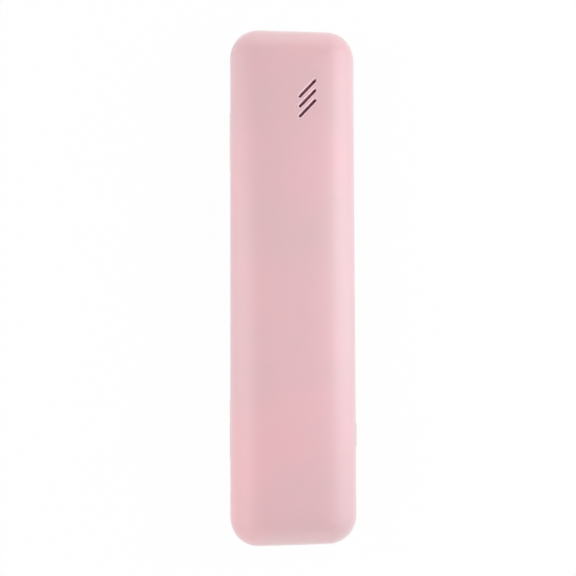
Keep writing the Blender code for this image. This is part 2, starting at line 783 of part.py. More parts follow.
UV_BOARD_UNDER = FLOOR + UV_BOARD_LIFT
UV_BOARD_TOP = UV_BOARD_UNDER + UV_BOARD_THICKNESS


def board_screw_places():
    """Returns the plan places of the two screws that hold the lamp board."""
    reach = UV_BOARD_LENGTH / 2 - UV_SCREW_INSET
    return {
        "board_screw_lower": (0.0, CHAMBER_MIDDLE - reach),
        "board_screw_upper": (0.0, CHAMBER_MIDDLE + reach),
    }


# Base
def button_hole_size():
    """Returns the length and height of the hole that the start button slides in."""
    return BUTTON_LENGTH + 2 * SEAT_GAP, BUTTON_HEIGHT + 2 * SEAT_GAP


USB_CENTRE_Z = COMPONENT_BASE + USB_HEIGHT / 2
LOWER_MAGNET_Y = -HALF_LENGTH + LOWER_MAGNET_FROM_END
UPPER_MAGNET_Y = HALF_LENGTH - UPPER_MAGNET_FROM_END
MAGNET_X = PAN_OUTER_X + SEAT_GAP + MAGNET_WIDTH / 2
BASE_MAGNET_TOP = TRAY_FLANGE_UNDER - SEAT_GAP
BASE_SHELF_TOP = BASE_MAGNET_TOP - MAGNET_THICKNESS - SEAT_GAP
LID_MAGNET_UNDER = LINER_RIM + PAN_THICKNESS + SEAT_GAP
LID_SHELF_UNDER = LID_MAGNET_UNDER + MAGNET_THICKNESS + SEAT_GAP
BATTERY_START = PCB_END + BATTERY_FROM_PCB
BATTERY_MIDDLE = BATTERY_START + BATTERY_LENGTH / 2


def build_base_shell(material):
    """Lower shell: hinge, bosses, battery fences, magnet shelves and the openings in its walls."""
    surface = shell_half("base_shell", BASE_HEIGHT, BASE_EDGE_RADIUS, 0.0)
    shell = add_node("base_shell", surface, material, (0.0, 0.0, BASE_HEIGHT), None, (0.0, math.pi, 0.0))
    thicken(shell, WALL)
    add_hinge(shell, of_lid=False)

    bosses = []
    holes = []
    root = FLOOR / 2
    for x, y in tray_screw_places().values():
        bosses.append((x, y, root, DECK_UNDER - SEAT_GAP, SCREW_SHANK_RADIUS + BOSS_WALL))
        holes.append((x, y, DECK_TOP - TRAY_SCREW_LENGTH - SEAT_GAP, CASE_HEIGHT, SCREW_SHANK_RADIUS))
    for x, y in pcb_screw_places().values():
        bosses.append((x, y, root, PCB_UNDER - SEAT_GAP, SMALL_SHANK_RADIUS + BOSS_WALL))
        holes.append((x, y, PCB_TOP - SMALL_SCREW_LENGTH - SEAT_GAP, CASE_HEIGHT, SMALL_SHANK_RADIUS))
    for x, y in board_screw_places().values():
        bosses.append((x, y, root, UV_BOARD_UNDER - SEAT_GAP, SMALL_SHANK_RADIUS + BOSS_WALL))
        holes.append((x, y, UV_BOARD_TOP - SMALL_SCREW_LENGTH - SEAT_GAP, CASE_HEIGHT, SMALL_SHANK_RADIUS))
    join(shell, add_tool("base_bosses", uprights_mesh("base_bosses", bosses)))
    bores = [(x, y, low, high, radius + SCREW_CLEARANCE) for x, y, low, high, radius in holes]
    cut(shell, add_tool("base_screw_bores", uprights_mesh("base_screw_bores", bores, SMALL_FACETS)))

    fences = []
    for y in (BATTERY_START - SEAT_GAP - FENCE_THICKNESS, BATTERY_START + BATTERY_LENGTH + SEAT_GAP):
        for x in (-BATTERY_WIDTH / 2, BATTERY_WIDTH / 2 - FENCE_WIDTH / 2):
            low = (x, y, root)
            fences.append((low, (x + FENCE_WIDTH / 2, y + FENCE_THICKNESS, FLOOR + FENCE_HEIGHT)))
    join(shell, add_tool("battery_fences", blocks_mesh("battery_fences", fences)))

    shelves = []
    for y in (LOWER_MAGNET_Y, UPPER_MAGNET_Y):
        half = MAGNET_LENGTH / 2 + WALL / 2
        low = (PAN_OUTER_X + SEAT_GAP, y - half, BASE_SHELF_TOP - MAGNET_SHELF_THICKNESS)
        shelves.append((low, (INNER_X + OVERLAP, y + half, BASE_SHELF_TOP)))
    join(shell, add_tool("base_magnet_shelves", blocks_mesh("base_magnet_shelves", shelves)))

    port = (USB_WIDTH + 2 * SEAT_GAP, 4 * WALL, USB_HEIGHT + 2 * SEAT_GAP)
    port_mesh = rounded_box_mesh("usb_opening", port, 0.49 * USB_HEIGHT, "Y", 5)
    cut(shell, add_tool("usb_opening", port_mesh, (0.0, -HALF_LENGTH + WALL, USB_CENTRE_Z)))
    pipe = [((LIGHT_PIPE_X, -HALF_LENGTH, USB_CENTRE_Z), LIGHT_PIPE_RADIUS + SCREW_CLEARANCE, 8 * WALL)]
    cut(shell, add_tool("light_pipe_hole", rods_mesh("light_pipe_hole", pipe, "Y")))
    length, height = button_hole_size()
    hole = rounded_box_mesh("button_hole", (4 * WALL, length, height), 0.49 * height, "X", 6)
    cut(shell, add_tool("button_hole", hole, (HALF_WIDTH - WALL / 2, BUTTON_Y, BUTTON_CENTRE_HEIGHT)))
    return shell


def add_saddle(tray, name, y, radius):
    """Adds an upright with a round notch that the brush lies in."""
    top = BRUSH_AXIS - SADDLE_DROP
    low = DECK_TOP - PAN_THICKNESS / 2
    size = (2 * (radius + SADDLE_ARM), SADDLE_THICKNESS, top - low)
    block = rounded_box_mesh(f"{name}_block", size, SADDLE_ROUND, "Y", 3)
    saddle = add_tool(name, block, (0.0, y, (top + low) / 2))
    notch = rods_mesh(f"{name}_notch", [((0.0, 0.0, 0.0), radius, 2 * SADDLE_THICKNESS)], "Y", 28)
    cut(saddle, add_tool(f"{name}_notch", notch, (0.0, y, BRUSH_AXIS)))
    join(tray, saddle)


WINDOW_HALF_X = WINDOW_OPENING_WIDTH / 2 + WINDOW_LEDGE
WINDOW_HALF_Y = WINDOW_OPENING_LENGTH / 2 + WINDOW_LEDGE
WINDOW_UNDER = HEAD_FLOOR_HEIGHT - WINDOW_THICKNESS
SEAL_UNDER = WINDOW_UNDER - SOLDER_GAP - SEAL_THICKNESS
LEDGE_TOP = SEAL_UNDER - SOLDER_GAP


def build_inner_tray(material):
    """White tray: flange and lip, deck, saddles, head chamber and the framed lamp opening."""
    surface = pan_surface(
        "inner_tray",
        TRAY_HALF_X,
        TRAY_HALF_Y,
        TRAY_CORNER,
        TRAY_DECK_DEPTH,
        PAN_FILLET,
        TRAY_RIM - HEAD_FLOOR_HEIGHT,
        LIP_HEIGHT,
    )
    tray = add_node("inner_tray", surface, material, (0.0, 0.0, TRAY_RIM))
    thicken(tray, PAN_THICKNESS)

    reach = CAVITY_Y - CORNER_RADIUS / 2
    far = TRAY_HALF_X + 4 * PAN_THICKNESS
    lip_cut = blocks_mesh(
        "hinge_side_lip", [((-far, -reach, TRAY_RIM + SEAT_GAP), (-CAVITY_X - SEAT_GAP, reach, CASE_HEIGHT))]
    )
    cut(tray, add_tool("hinge_side_lip", lip_cut))
    notches = []
    for station in HINGE_STATIONS:
        half = KNUCKLE_STEP + KNUCKLE_LENGTH / 2 + SEAT_GAP
        edge = HINGE_X + KNUCKLE_RADIUS + SEAT_GAP
        notches.append(((-far, station - half, DECK_UNDER), (edge, station + half, CASE_HEIGHT)))
    cut(tray, add_tool("hinge_notches", blocks_mesh("hinge_notches", notches)))

    add_saddle(tray, "lower_saddle", -HALF_LENGTH + LOWER_SADDLE_FROM_END, BRUSH_RADIUS)
    add_saddle(tray, "upper_saddle", -HALF_LENGTH + UPPER_SADDLE_FROM_END, BRUSH_RADIUS)
    add_saddle(tray, "neck_saddle", CHAMBER_START - NECK_SADDLE_SETBACK - PAN_FILLET, NECK_RADIUS)

    holes = [(x, y, 0.0, BRUSH_AXIS, SCREW_SHANK_RADIUS + SEAT_GAP) for x, y in tray_screw_places().values()]
    cut(tray, add_tool("tray_screw_holes", uprights_mesh("tray_screw_holes", holes, SMALL_FACETS)))

    frame_x = WINDOW_HALF_X + SOLDER_GAP + WINDOW_FRAME_WALL
    frame_y = WINDOW_HALF_Y + SOLDER_GAP + WINDOW_FRAME_WALL
    frame_top = HEAD_FLOOR_HEIGHT - PAN_THICKNESS / 2
    frame_low = LEDGE_TOP - WINDOW_FRAME_FLOOR
    frame = blocks_mesh(
        "window_frame",
        [((-frame_x, CHAMBER_MIDDLE - frame_y, frame_low), (frame_x, CHAMBER_MIDDLE + frame_y, frame_top))],
    )
    join(tray, add_tool("window_frame", frame))
    room_x = WINDOW_HALF_X + SOLDER_GAP
    room_y = WINDOW_HALF_Y + SOLDER_GAP
    room = (2 * room_x, 2 * room_y, 2 * HEAD_FLOOR_HEIGHT)
    room_z = LEDGE_TOP + HEAD_FLOOR_HEIGHT
    room_mesh = rounded_box_mesh("window_room", room, WINDOW_LEDGE, "Z", 3)
    cut(tray, add_tool("window_room", room_mesh, (0.0, CHAMBER_MIDDLE, room_z)))
    opening = (WINDOW_OPENING_WIDTH, WINDOW_OPENING_LENGTH, 4 * HEAD_FLOOR_HEIGHT)
    opening_mesh = rounded_box_mesh("lamp_opening", opening, WINDOW_LEDGE, "Z", 3)
    cut(tray, add_tool("lamp_opening", opening_mesh, (0.0, CHAMBER_MIDDLE, HEAD_FLOOR_HEIGHT)))
    return tray


def build_tray_screws(material):
    """Screws through the deck into the base's bosses."""
    for name, (x, y) in tray_screw_places().items():
        add_screw(name, material, (x, y, DECK_TOP + SOLDER_GAP), TRAY_SCREW_LENGTH)


def build_main_board(materials):
    """Main board with what is soldered to it, and its screws."""
    half = PCB_HALF_WIDTH
    wing = SWITCH_FACE_X
    wing_start = PCB_END - PCB_WING_LENGTH
    outline = [
        (-half, PCB_START),
        (half, PCB_START),
        (half, wing_start),
        (wing, wing_start),
        (wing, PCB_END),
        (-half, PCB_END),
    ]
    holes = [circle(x, y, SMALL_SHANK_RADIUS + SEAT_GAP) for x, y in pcb_screw_places().values()]
    middle = (0.0, 0.0, (PCB_UNDER + PCB_TOP) / 2)
    flat_outline("main_pcb", [outline] + holes, PCB_THICKNESS, materials["board"], middle)
    for name, (x, y) in pcb_screw_places().items():
        add_screw(name, materials["steel"], (x, y, PCB_TOP + SOLDER_GAP), SMALL_SCREW_LENGTH, small=True)

    control = (CONTROL_CHIP_LENGTH, CHIP_WIDTH, CHIP_HEIGHT)
    charger = (CHARGER_CHIP_LENGTH, CHIP_WIDTH, CHIP_HEIGHT)
    inductor = (INDUCTOR_SIZE, INDUCTOR_SIZE, INDUCTOR_HEIGHT)
    hall = (HALL_SENSOR_LENGTH, HALL_SENSOR_WIDTH, HALL_SENSOR_HEIGHT)
    hall_place = (MAGNET_X - MAGNET_WIDTH, LOWER_MAGNET_Y + HALL_SENSOR_PAST_MAGNET)
    chips = {
        "control_chip": ((0.0, PCB_END - CONTROL_CHIP_SETBACK), control, "chip"),
        "charger_chip": ((-CHARGER_CHIP_OFFSET, PCB_START + CHARGER_CHIP_SETBACK), charger, "chip"),
        "boost_inductor": ((INDUCTOR_OFFSET, PCB_START + INDUCTOR_SETBACK), inductor, "ferrite"),
        "hall_sensor": (hall_place, hall, "chip"),
    }
    for name, ((x, y), size, slot) in chips.items():
        mesh = rounded_box_mesh(name, size, PACKAGE_ROUND, "Z", 1)
        add_node(name, mesh, materials[slot], (x, y, COMPONENT_BASE + size[2] / 2))


def build_usb_port(material):
    """Charging port: a rounded metal shell, open outward, with its tongue inside."""
    mouth = -HALF_LENGTH + USB_RECESS
    size = (USB_WIDTH, USB_DEPTH, USB_HEIGHT)
    mesh = rounded_box_mesh("usb_c_port", size, 0.45 * USB_HEIGHT, "Y", 5)
    port = add_node("usb_c_port", mesh, material, (0.0, mouth + USB_DEPTH / 2, USB_CENTRE_Z))
    room = (USB_WIDTH - 2 * USB_SHELL, USB_DEPTH, USB_HEIGHT - 2 * USB_SHELL)
    room_mesh = rounded_box_mesh("usb_room", room, 0.45 * (USB_HEIGHT - 2 * USB_SHELL), "Y", 5)
    cut(port, add_tool("usb_room", room_mesh, (0.0, mouth + USB_DEPTH / 2 - 4 * USB_SHELL, USB_CENTRE_Z)))
    tongue_half = USB_TONGUE_WIDTH / 2
    low = (-tongue_half, mouth + USB_TONGUE_SETBACK, USB_CENTRE_Z - USB_TONGUE_THICKNESS / 2)
    high = (tongue_half, mouth + USB_DEPTH - 2 * USB_SHELL, USB_CENTRE_Z + USB_TONGUE_THICKNESS / 2)
    join(port, add_tool("usb_tongue", blocks_mesh("usb_tongue", [(low, high)])))


def build_charge_light(materials):
    """Charging light on the board, and the clear pipe that brings it through the end wall."""
    flange = LIGHT_PIPE_RADIUS + LIGHT_PIPE_FLANGE
    flange_back = -HALF_LENGTH + base_inset(USB_CENTRE_Z - flange) + SEAT_GAP + LIGHT_PIPE_FLANGE
    face = -HALF_LENGTH + SOLDER_GAP
    length = flange_back + LIGHT_PIPE_RADIUS - face
    back = LIGHT_PIPE_RADIUS
    profile = [
        (0.0, length),
        (0.8 * LIGHT_PIPE_RADIUS, length),
        (LIGHT_PIPE_RADIUS, length - 0.2 * LIGHT_PIPE_RADIUS),
        (LIGHT_PIPE_RADIUS, back + LIGHT_PIPE_FLANGE),
        (flange, back + LIGHT_PIPE_FLANGE),
        (flange, back),
        (LIGHT_PIPE_RADIUS, back),
        (LIGHT_PIPE_RADIUS, 0.0),
        (0.0, 0.0),
    ]
    place = (LIGHT_PIPE_X, face + length, USB_CENTRE_Z)
    turned_piece("charge_light_pipe", profile, materials["clear"], place, None, (math.pi / 2, 0.0, 0.0))
    height = USB_CENTRE_Z + CHARGE_LED_SIZE / 2 - COMPONENT_BASE
    mesh = rounded_box_mesh("charge_led", (CHARGE_LED_SIZE, CHARGE_LED_SIZE, height), PACKAGE_ROUND, "Z", 1)
    y = face + length + SEAT_GAP + CHARGE_LED_SIZE / 2
    add_node("charge_led", mesh, materials["lamp"], (LIGHT_PIPE_X, y, COMPONENT_BASE + height / 2))


def build_socket_and_plug(name, x, materials):
    """Wire socket at the board's upper edge, and its plug. Returns the plug's rear y and height."""
    size = (SOCKET_WIDTH, SOCKET_DEPTH, SOCKET_HEIGHT)
    y = PCB_END - SOCKET_DEPTH / 2
    z = COMPONENT_BASE + SOCKET_HEIGHT / 2
    body = rounded_box_mesh(f"{name}_socket", size, SOCKET_ROUND, "Y", 1)
    socket = add_node(f"{name}_socket", body, materials["nylon"], (x, y, z))
    room = (SOCKET_WIDTH - 2 * SOCKET_WALL, SOCKET_DEPTH, SOCKET_HEIGHT - 2 * SOCKET_WALL)
    room_mesh = rounded_box_mesh(f"{name}_socket_room", room, PLUG_ROUND, "Y", 1)
    tool = add_tool(f"{name}_socket_room", room_mesh, (x, y + SOCKET_WALL, z))
    cut(socket, tool)
    gap = SCREW_CLEARANCE
    plug = (room[0] - 2 * gap, SOCKET_DEPTH - SOCKET_WALL - gap + PLUG_PROUD, room[2] - 2 * gap)
    plug_y = PCB_END - SOCKET_DEPTH + SOCKET_WALL + gap + plug[1] / 2
    plug_mesh = rounded_box_mesh(f"{name}_plug", plug, PLUG_ROUND, "Y", 1)
    add_node(f"{name}_plug", plug_mesh, materials["nylon"], (x, plug_y, z))
    return plug_y + plug[1] / 2, z


SWITCH_CENTRE_Z = COMPONENT_BASE + SWITCH_HEIGHT / 2
PLATE_FACE_X = INNER_X - SEAT_GAP - SOLDER_GAP
PLATE_BACK_X = PLATE_FACE_X - BUTTON_PLATE_THICKNESS
LEG_FACE_X = PLATE_BACK_X + BUTTON_LEG_THICKNESS / 2
LEG_BACK_X = LEG_FACE_X - BUTTON_LEG_THICKNESS
POST_TIP_X = LEG_BACK_X - BUTTON_POST_RADIUS
STEM_TIP_X = POST_TIP_X - SEAT_GAP
SWITCH_FACE_X = STEM_TIP_X - STEM_PROUD


def build_switch(materials):
    """Side-acting switch on the board's wing, with the bore that its stem moves in."""
    size = (SWITCH_DEPTH, SWITCH_WIDTH, SWITCH_HEIGHT)
    mesh = rounded_box_mesh("tact_switch", size, SWITCH_ROUND, "X", 1)
    place = (SWITCH_FACE_X - SWITCH_DEPTH / 2, BUTTON_Y, SWITCH_CENTRE_Z)
    switch = add_node("tact_switch", mesh, materials["chip"], place)
    depth = STEM_INSIDE + BUTTON_TRAVEL + SEAT_GAP
    bore = [((SWITCH_FACE_X, BUTTON_Y, SWITCH_CENTRE_Z), STEM_RADIUS + SCREW_CLEARANCE, 2 * depth)]
    cut(switch, add_tool("stem_bore", rods_mesh("stem_bore", bore, "X")))


def build_button(materials):
    """Start button on its slide axis, with its retaining plate, leg and post, and the switch's stem."""
    pivot = add_pivot("button_slide_axis", (HALF_WIDTH, BUTTON_Y, BUTTON_CENTRE_HEIGHT))
    cap_back = PLATE_BACK_X + BUTTON_PLATE_THICKNESS / 2
    depth = HALF_WIDTH + BUTTON_PROUD - cap_back
    mesh = rounded_box_mesh(
        "start_button",
        (depth, BUTTON_LENGTH, BUTTON_HEIGHT),
        0.49 * BUTTON_HEIGHT,
        "X",
        6,
        BUTTON_ROUND,
    )
    middle = (cap_back + depth / 2, BUTTON_Y, BUTTON_CENTRE_HEIGHT)
    button = add_node("start_button", mesh, materials["button"], middle, pivot)
    hole_length, hole_height = button_hole_size()
    half = hole_length / 2 + BUTTON_PLATE_MARGIN
    plate_low = BUTTON_CENTRE_HEIGHT - hole_height / 2 - BUTTON_PLATE_MARGIN / 2
    plate_top = min(BUTTON_CENTRE_HEIGHT + BUTTON_HEIGHT / 2, TRAY_FLANGE_UNDER - SEAT_GAP) - SOLDER_GAP
    plate = ((PLATE_BACK_X, BUTTON_Y - half, plate_low), (PLATE_FACE_X, BUTTON_Y + half, plate_top))
    leg_half = BUTTON_LEG_LENGTH / 2 + BUTTON_POST_RADIUS
    leg_low = SWITCH_CENTRE_Z - BUTTON_POST_RADIUS
    leg_top = plate_top - OVERLAP
    leg = ((LEG_BACK_X, BUTTON_Y - leg_half, leg_low), (LEG_FACE_X, BUTTON_Y + leg_half, leg_top))
    join(button, add_tool("button_plate", blocks_mesh("button_plate", [plate])))
    join(button, add_tool("button_leg", blocks_mesh("button_leg", [leg])))
    post_length = LEG_BACK_X + OVERLAP - POST_TIP_X
    post_middle = (POST_TIP_X + post_length / 2, BUTTON_Y, SWITCH_CENTRE_Z)
    post = [(post_middle, BUTTON_POST_RADIUS - SOLDER_GAP, post_length)]
    join(button, add_tool("button_post", rods_mesh("button_post", post, "X", SMALL_FACETS)))

    stem_length = STEM_PROUD + STEM_INSIDE
    stem = rods_mesh("switch_stem", [((0.0, 0.0, 0.0), STEM_RADIUS, stem_length)], "X", SMALL_FACETS)
    place = (STEM_TIP_X - stem_length / 2, BUTTON_Y, SWITCH_CENTRE_Z)
    add_node("switch_stem", stem, materials["nylon"], place, pivot)


def build_battery(materials):
    """Flat pouch cell and the tape that holds it to the floor."""
    tape_under = FLOOR + SOLDER_GAP
    size = (BATTERY_WIDTH - 2 * TAPE_SIDE_INSET, BATTERY_LENGTH - 2 * TAPE_END_INSET, TAPE_THICKNESS)
    tape = rounded_box_mesh("battery_tape", size, TAPE_CORNER, "Z", 2)
    add_node("battery_tape", tape, materials["tape"], (0.0, BATTERY_MIDDLE, tape_under + TAPE_THICKNESS / 2))
    under = tape_under + TAPE_THICKNESS + SOLDER_GAP
    size = (BATTERY_WIDTH, BATTERY_LENGTH, BATTERY_THICKNESS)
    cell = rounded_box_mesh("battery_cell", size, BATTERY_ROUND, "Y", 4, BATTERY_END_ROUND)
    add_node("battery_cell", cell, materials["foil"], (0.0, BATTERY_MIDDLE, under + BATTERY_THICKNESS / 2))
    return under + BATTERY_THICKNESS / 2


def smooth_route(points, step):
    """Returns points at even steps along a smooth curve through a route's own points."""
    route = [Vector(p) for p in points]
    last = len(route) - 1
    headings = [(route[min(i + 1, last)] - route[max(i - 1, 0)]).normalized() for i in range(last + 1)]
    fine = []
    for i in range(last):
        span = (route[i + 1] - route[i]).length
        for k in range(24):
            t = k / 24
            start = (1 + 2 * t) * (1 - t) ** 2 * route[i] + t * (1 - t) ** 2 * span * headings[i]
            end = t**2 * (3 - 2 * t) * route[i + 1] - t**2 * (1 - t) * span * headings[i + 1]
            fine.append(start + end)
    fine.append(route[-1])
    lengths = [0.0]
    for before, after in zip(fine, fine[1:]):
        lengths.append(lengths[-1] + (after - before).length)
    count = max(3, round(lengths[-1] / step))
    even = []
    k = 0
    for i in range(count + 1):
        goal = lengths[-1] * i / count
        while k < len(fine) - 2 and lengths[k + 1] < goal:
            k += 1
        span = lengths[k + 1] - lengths[k]
        even.append(fine[k].lerp(fine[k + 1], (goal - lengths[k]) / span if span > 0 else 0.0))
    return even


def build_wire(name, route, material):
    """Adds an insulated wire along a route."""
    curve = bpy.data.curves.new(name, "CURVE")
    curve.dimensions = "3D"
    curve.bevel_depth = WIRE_RADIUS
    curve.bevel_resolution = 1
    curve.use_fill_caps = True
    points = smooth_route(route, 5 * WIRE_RADIUS)
    spline = curve.splines.new("POLY")
    spline.points.add(len(points) - 1)
    for point, place in zip(spline.points, points):
        point.co = (*place, 1.0)
    return add_node(name, curve, material, (0.0, 0.0, 0.0))


def build_wires(materials, battery_height):
    """Sockets, plugs and the four wires that run whole inside the base."""
    half = WIRE_SPACING / 2
    rear, height = build_socket_and_plug("battery", BATTERY_SOCKET_X, materials)
    start = rear + SEAT_GAP
    finish = BATTERY_START - SEAT_GAP
    for name, side in (("red", 1), ("black", -1)):
        x = BATTERY_SOCKET_X + side * half
        far = side * (half + WIRE_SPACING)
        route = [
            (x, start, height),
            (x, start + 2 * WIRE_RADIUS, height),
            ((x + far) / 2, (start + finish) / 2, (height + battery_height) / 2),
            (far, finish - 2 * WIRE_RADIUS, battery_height),
            (far, finish, battery_height),
        ]
        build_wire(f"battery_wire_{name}", route, materials[f"wire_{name}"])

    rear, height = build_socket_and_plug("led", LED_SOCKET_X, materials)
    start = rear + SEAT_GAP
    board_end = CHAMBER_MIDDLE - UV_BOARD_LENGTH / 2 - SEAT_GAP
    board_z = (UV_BOARD_UNDER + UV_BOARD_TOP) / 2
    for name, side in (("red", 1), ("black", -1)):
        x = LED_SOCKET_X + side * half
        lane = WIRE_CHANNEL_X - (0.0 if side > 0 else WIRE_SPACING)
        low = base_inset_height(-lane + WIRE_RADIUS) + WIRE_RADIUS + SEAT_GAP
        bend = WIRE_BEND + side * half
        far = -UV_BOARD_WIDTH / 4 + side * half
        route = [
            (x, start, height),
            (x, start + WIRE_RADIUS, height),
            (x - bend / 2, start + bend * 0.7, height),
            (lane + bend / 2, start + bend, (height + low) / 2),
            (lane, start + 2 * bend, low),
            (lane, start + 3 * bend, low),
            (lane, board_end - 4 * bend, low),
            (lane, board_end - 3 * bend, low),
            ((lane + far) / 2, board_end - 2 * bend, board_z),
            (far, board_end - bend, board_z),
            (far, board_end, board_z),
        ]
        build_wire(f"led_wire_{name}", route, materials[f"wire_{name}"])


def base_inset_height(x):
    """Height of the base's inner floor at a distance from the middle plane."""
    inner_radius = BASE_EDGE_RADIUS - WALL
    past = max(0.0, abs(x) - (HALF_WIDTH - BASE_EDGE_RADIUS))
    return BASE_EDGE_RADIUS - math.sqrt(max(inner_radius**2 - past**2, 0.0))


def build_lamp(materials):
    """Lamp board with its lamps and screws, and the sealed window over them."""
    half_x = UV_BOARD_WIDTH / 2
    half_y = UV_BOARD_LENGTH / 2
    places = board_screw_places()
    holes = [circle(x, y - CHAMBER_MIDDLE, SMALL_SHANK_RADIUS + SEAT_GAP) for x, y in places.values()]
    outline = rounded_rectangle(half_x, half_y, UV_BOARD_CORNER, 2)
    middle = (0.0, CHAMBER_MIDDLE, (UV_BOARD_UNDER + UV_BOARD_TOP) / 2)
    flat_outline("uv_led_board", [outline] + holes, UV_BOARD_THICKNESS, materials["white_board"], middle)
    for name, (x, y) in places.items():
        place = (x, y, UV_BOARD_TOP + SOLDER_GAP)
        add_screw(name, materials["steel"], place, SMALL_SCREW_LENGTH, small=True)
    for index in range(UV_LED_COUNT):
        y = CHAMBER_MIDDLE + (index - (UV_LED_COUNT - 1) / 2) * UV_LED_PITCH
        size = (UV_LED_SIZE, UV_LED_SIZE, UV_LED_HEIGHT)
        mesh = rounded_box_mesh(f"uv_led_{index + 1}", size, UV_LED_ROUND, "Z", 2, UV_LED_EDGE)
        z = UV_BOARD_TOP + SOLDER_GAP + UV_LED_HEIGHT / 2
        add_node(f"uv_led_{index + 1}", mesh, materials["lamp"], (0.0, y, z))

    seal_x = WINDOW_HALF_X - SOLDER_GAP
    seal_y = WINDOW_HALF_Y - SOLDER_GAP
    seal = [
        rounded_rectangle(seal_x, seal_y, WINDOW_LEDGE, 3),
        rounded_rectangle(seal_x - SEAL_WIDTH, seal_y - SEAL_WIDTH, WINDOW_LEDGE - SEAL_WIDTH / 2, 3),
    ]
    place = (0.0, CHAMBER_MIDDLE, SEAL_UNDER + SEAL_THICKNESS / 2)
    flat_outline("window_seal", seal, SEAL_THICKNESS, materials["silicone"], place)
    size = (2 * WINDOW_HALF_X - 2 * SOLDER_GAP, 2 * WINDOW_HALF_Y - 2 * SOLDER_GAP, WINDOW_THICKNESS)
    window = rounded_box_mesh("uv_window", size, WINDOW_LEDGE, "Z", 3)
    place = (0.0, CHAMBER_MIDDLE, WINDOW_UNDER + WINDOW_THICKNESS / 2)
    add_node("uv_window", window, materials["clear"], place)


def build_magnets(name, low_z, material, parent=None):
    """Two bar magnets that lie trapped between a shelf and a flange."""
    for where, y in (("lower", LOWER_MAGNET_Y), ("upper", UPPER_MAGNET_Y)):
        size = (MAGNET_WIDTH, MAGNET_LENGTH, MAGNET_THICKNESS)
        mesh = rounded_box_mesh(f"{name}_{where}", size, MAGNET_ROUND, "Y", 1)
        add_node(f"{name}_{where}", mesh, material, (MAGNET_X, y, low_z + MAGNET_THICKNESS / 2), parent)


def build_hinge_pins(material):
    """Steel pins through the knuckles of each hinge."""
    for where, y in zip(("lower", "upper"), HINGE_STATIONS):
        mesh = rods_mesh(f"hinge_pin_{where}", [((0.0, 0.0, 0.0), PIN_RADIUS, PIN_LENGTH)], "Y")
        add_node(f"hinge_pin_{where}", mesh, material, (HINGE_X, y, HINGE_Z))


# Lid
def build_lid_shell(material, pivot):
    """Upper shell: crowned top, slanted vents, hinge, bosses and magnet shelves."""
    surface = shell_half("lid_shell", LID_HEIGHT, LID_EDGE_RADIUS, LID_CROWN)
    shell = add_node("lid_shell", surface, material, (0.0, 0.0, LID_RIM), pivot)
    thicken(shell, WALL)
    add_hinge(shell, of_lid=True)

    bosses = []
    bores = []
    for x, y in liner_screw_places().values():
        top = CASE_HEIGHT - LID_CROWN + crown_at(x, y) - WALL / 2
        bosses.append((x, y, LINER_OUTSIDE + SEAT_GAP, top, SCREW_SHANK_RADIUS + BOSS_WALL))
        deep = LINER_CEILING + LINER_SCREW_LENGTH + SEAT_GAP
        bores.append((x, y, LINER_CEILING, deep, SCREW_SHANK_RADIUS + SCREW_CLEARANCE))
    join(shell, add_tool("lid_bosses", uprights_mesh("lid_bosses", bosses)))
    cut(shell, add_tool("lid_screw_bores", uprights_mesh("lid_screw_bores", bores, SMALL_FACETS)))

    shelves = []
    for y in (LOWER_MAGNET_Y, UPPER_MAGNET_Y):
        half = MAGNET_LENGTH / 2 + WALL / 2
        low = (PAN_OUTER_X + SEAT_GAP, y - half, LID_SHELF_UNDER)
        shelves.append((low, (INNER_X + OVERLAP, y + half, LID_SHELF_UNDER + MAGNET_SHELF_THICKNESS)))
    join(shell, add_tool("lid_magnet_shelves", blocks_mesh("lid_magnet_shelves", shelves)))
    for tool in vent_tools("vent_slot", LINER_OUTSIDE, CASE_HEIGHT + WALL):
        cut(shell, tool)
    return shell


def build_lid_liner(material, pivot):
    """White liner of the lid, with its screw holes, vent openings and the stakes for the reflector."""
    surface = pan_surface("lid_liner", LINER_HALF_X, LINER_HALF_Y, LINER_CORNER, LINER_DEPTH, LINER_FILLET)
    liner = add_node("lid_liner", surface, material, (0.0, 0.0, LINER_RIM), pivot, (0.0, math.pi, 0.0))
    thicken(liner, PAN_THICKNESS)
    stakes = []
    heads = []
    for x, y in stake_places():
        tip = REFLECTOR_UNDER - SEAT_GAP - STAKE_HEAD_HEIGHT
        stakes.append((x, y, tip + STAKE_HEAD_HEIGHT / 2, LINER_CEILING + PAN_THICKNESS / 2, STAKE_RADIUS))
        heads.append((x, y, tip, tip + STAKE_HEAD_HEIGHT, STAKE_HEAD_RADIUS))
    join(liner, add_tool("reflector_stakes", uprights_mesh("reflector_stakes", stakes, SMALL_FACETS)))
    head_mesh = uprights_mesh("reflector_stake_heads", heads, SMALL_FACETS)
    join(liner, add_tool("reflector_stake_heads", head_mesh))
    holes = []
    for x, y in liner_screw_places().values():
        holes.append((x, y, LINER_RIM, CASE_HEIGHT, SCREW_SHANK_RADIUS + SEAT_GAP))
    cut(liner, add_tool("liner_screw_holes", uprights_mesh("liner_screw_holes", holes, SMALL_FACETS)))
    for tool in vent_tools("liner_vent", LINER_RIM, CASE_HEIGHT, VENT_PATH_MARGIN):
        cut(liner, tool)
    return liner


REFLECTOR_TOP = LINER_CEILING - SEAT_GAP
REFLECTOR_UNDER = REFLECTOR_TOP - REFLECTOR_THICKNESS


def stake_places():
    """Returns the plan places of the stakes that hold the reflector."""
    x = REFLECTOR_WIDTH / 2 - STAKE_INSET
    y = REFLECTOR_LENGTH / 2 - STAKE_INSET
    return [(sx * x, CHAMBER_MIDDLE + sy * y) for sx in (-1, 1) for sy in (-1, 1)]


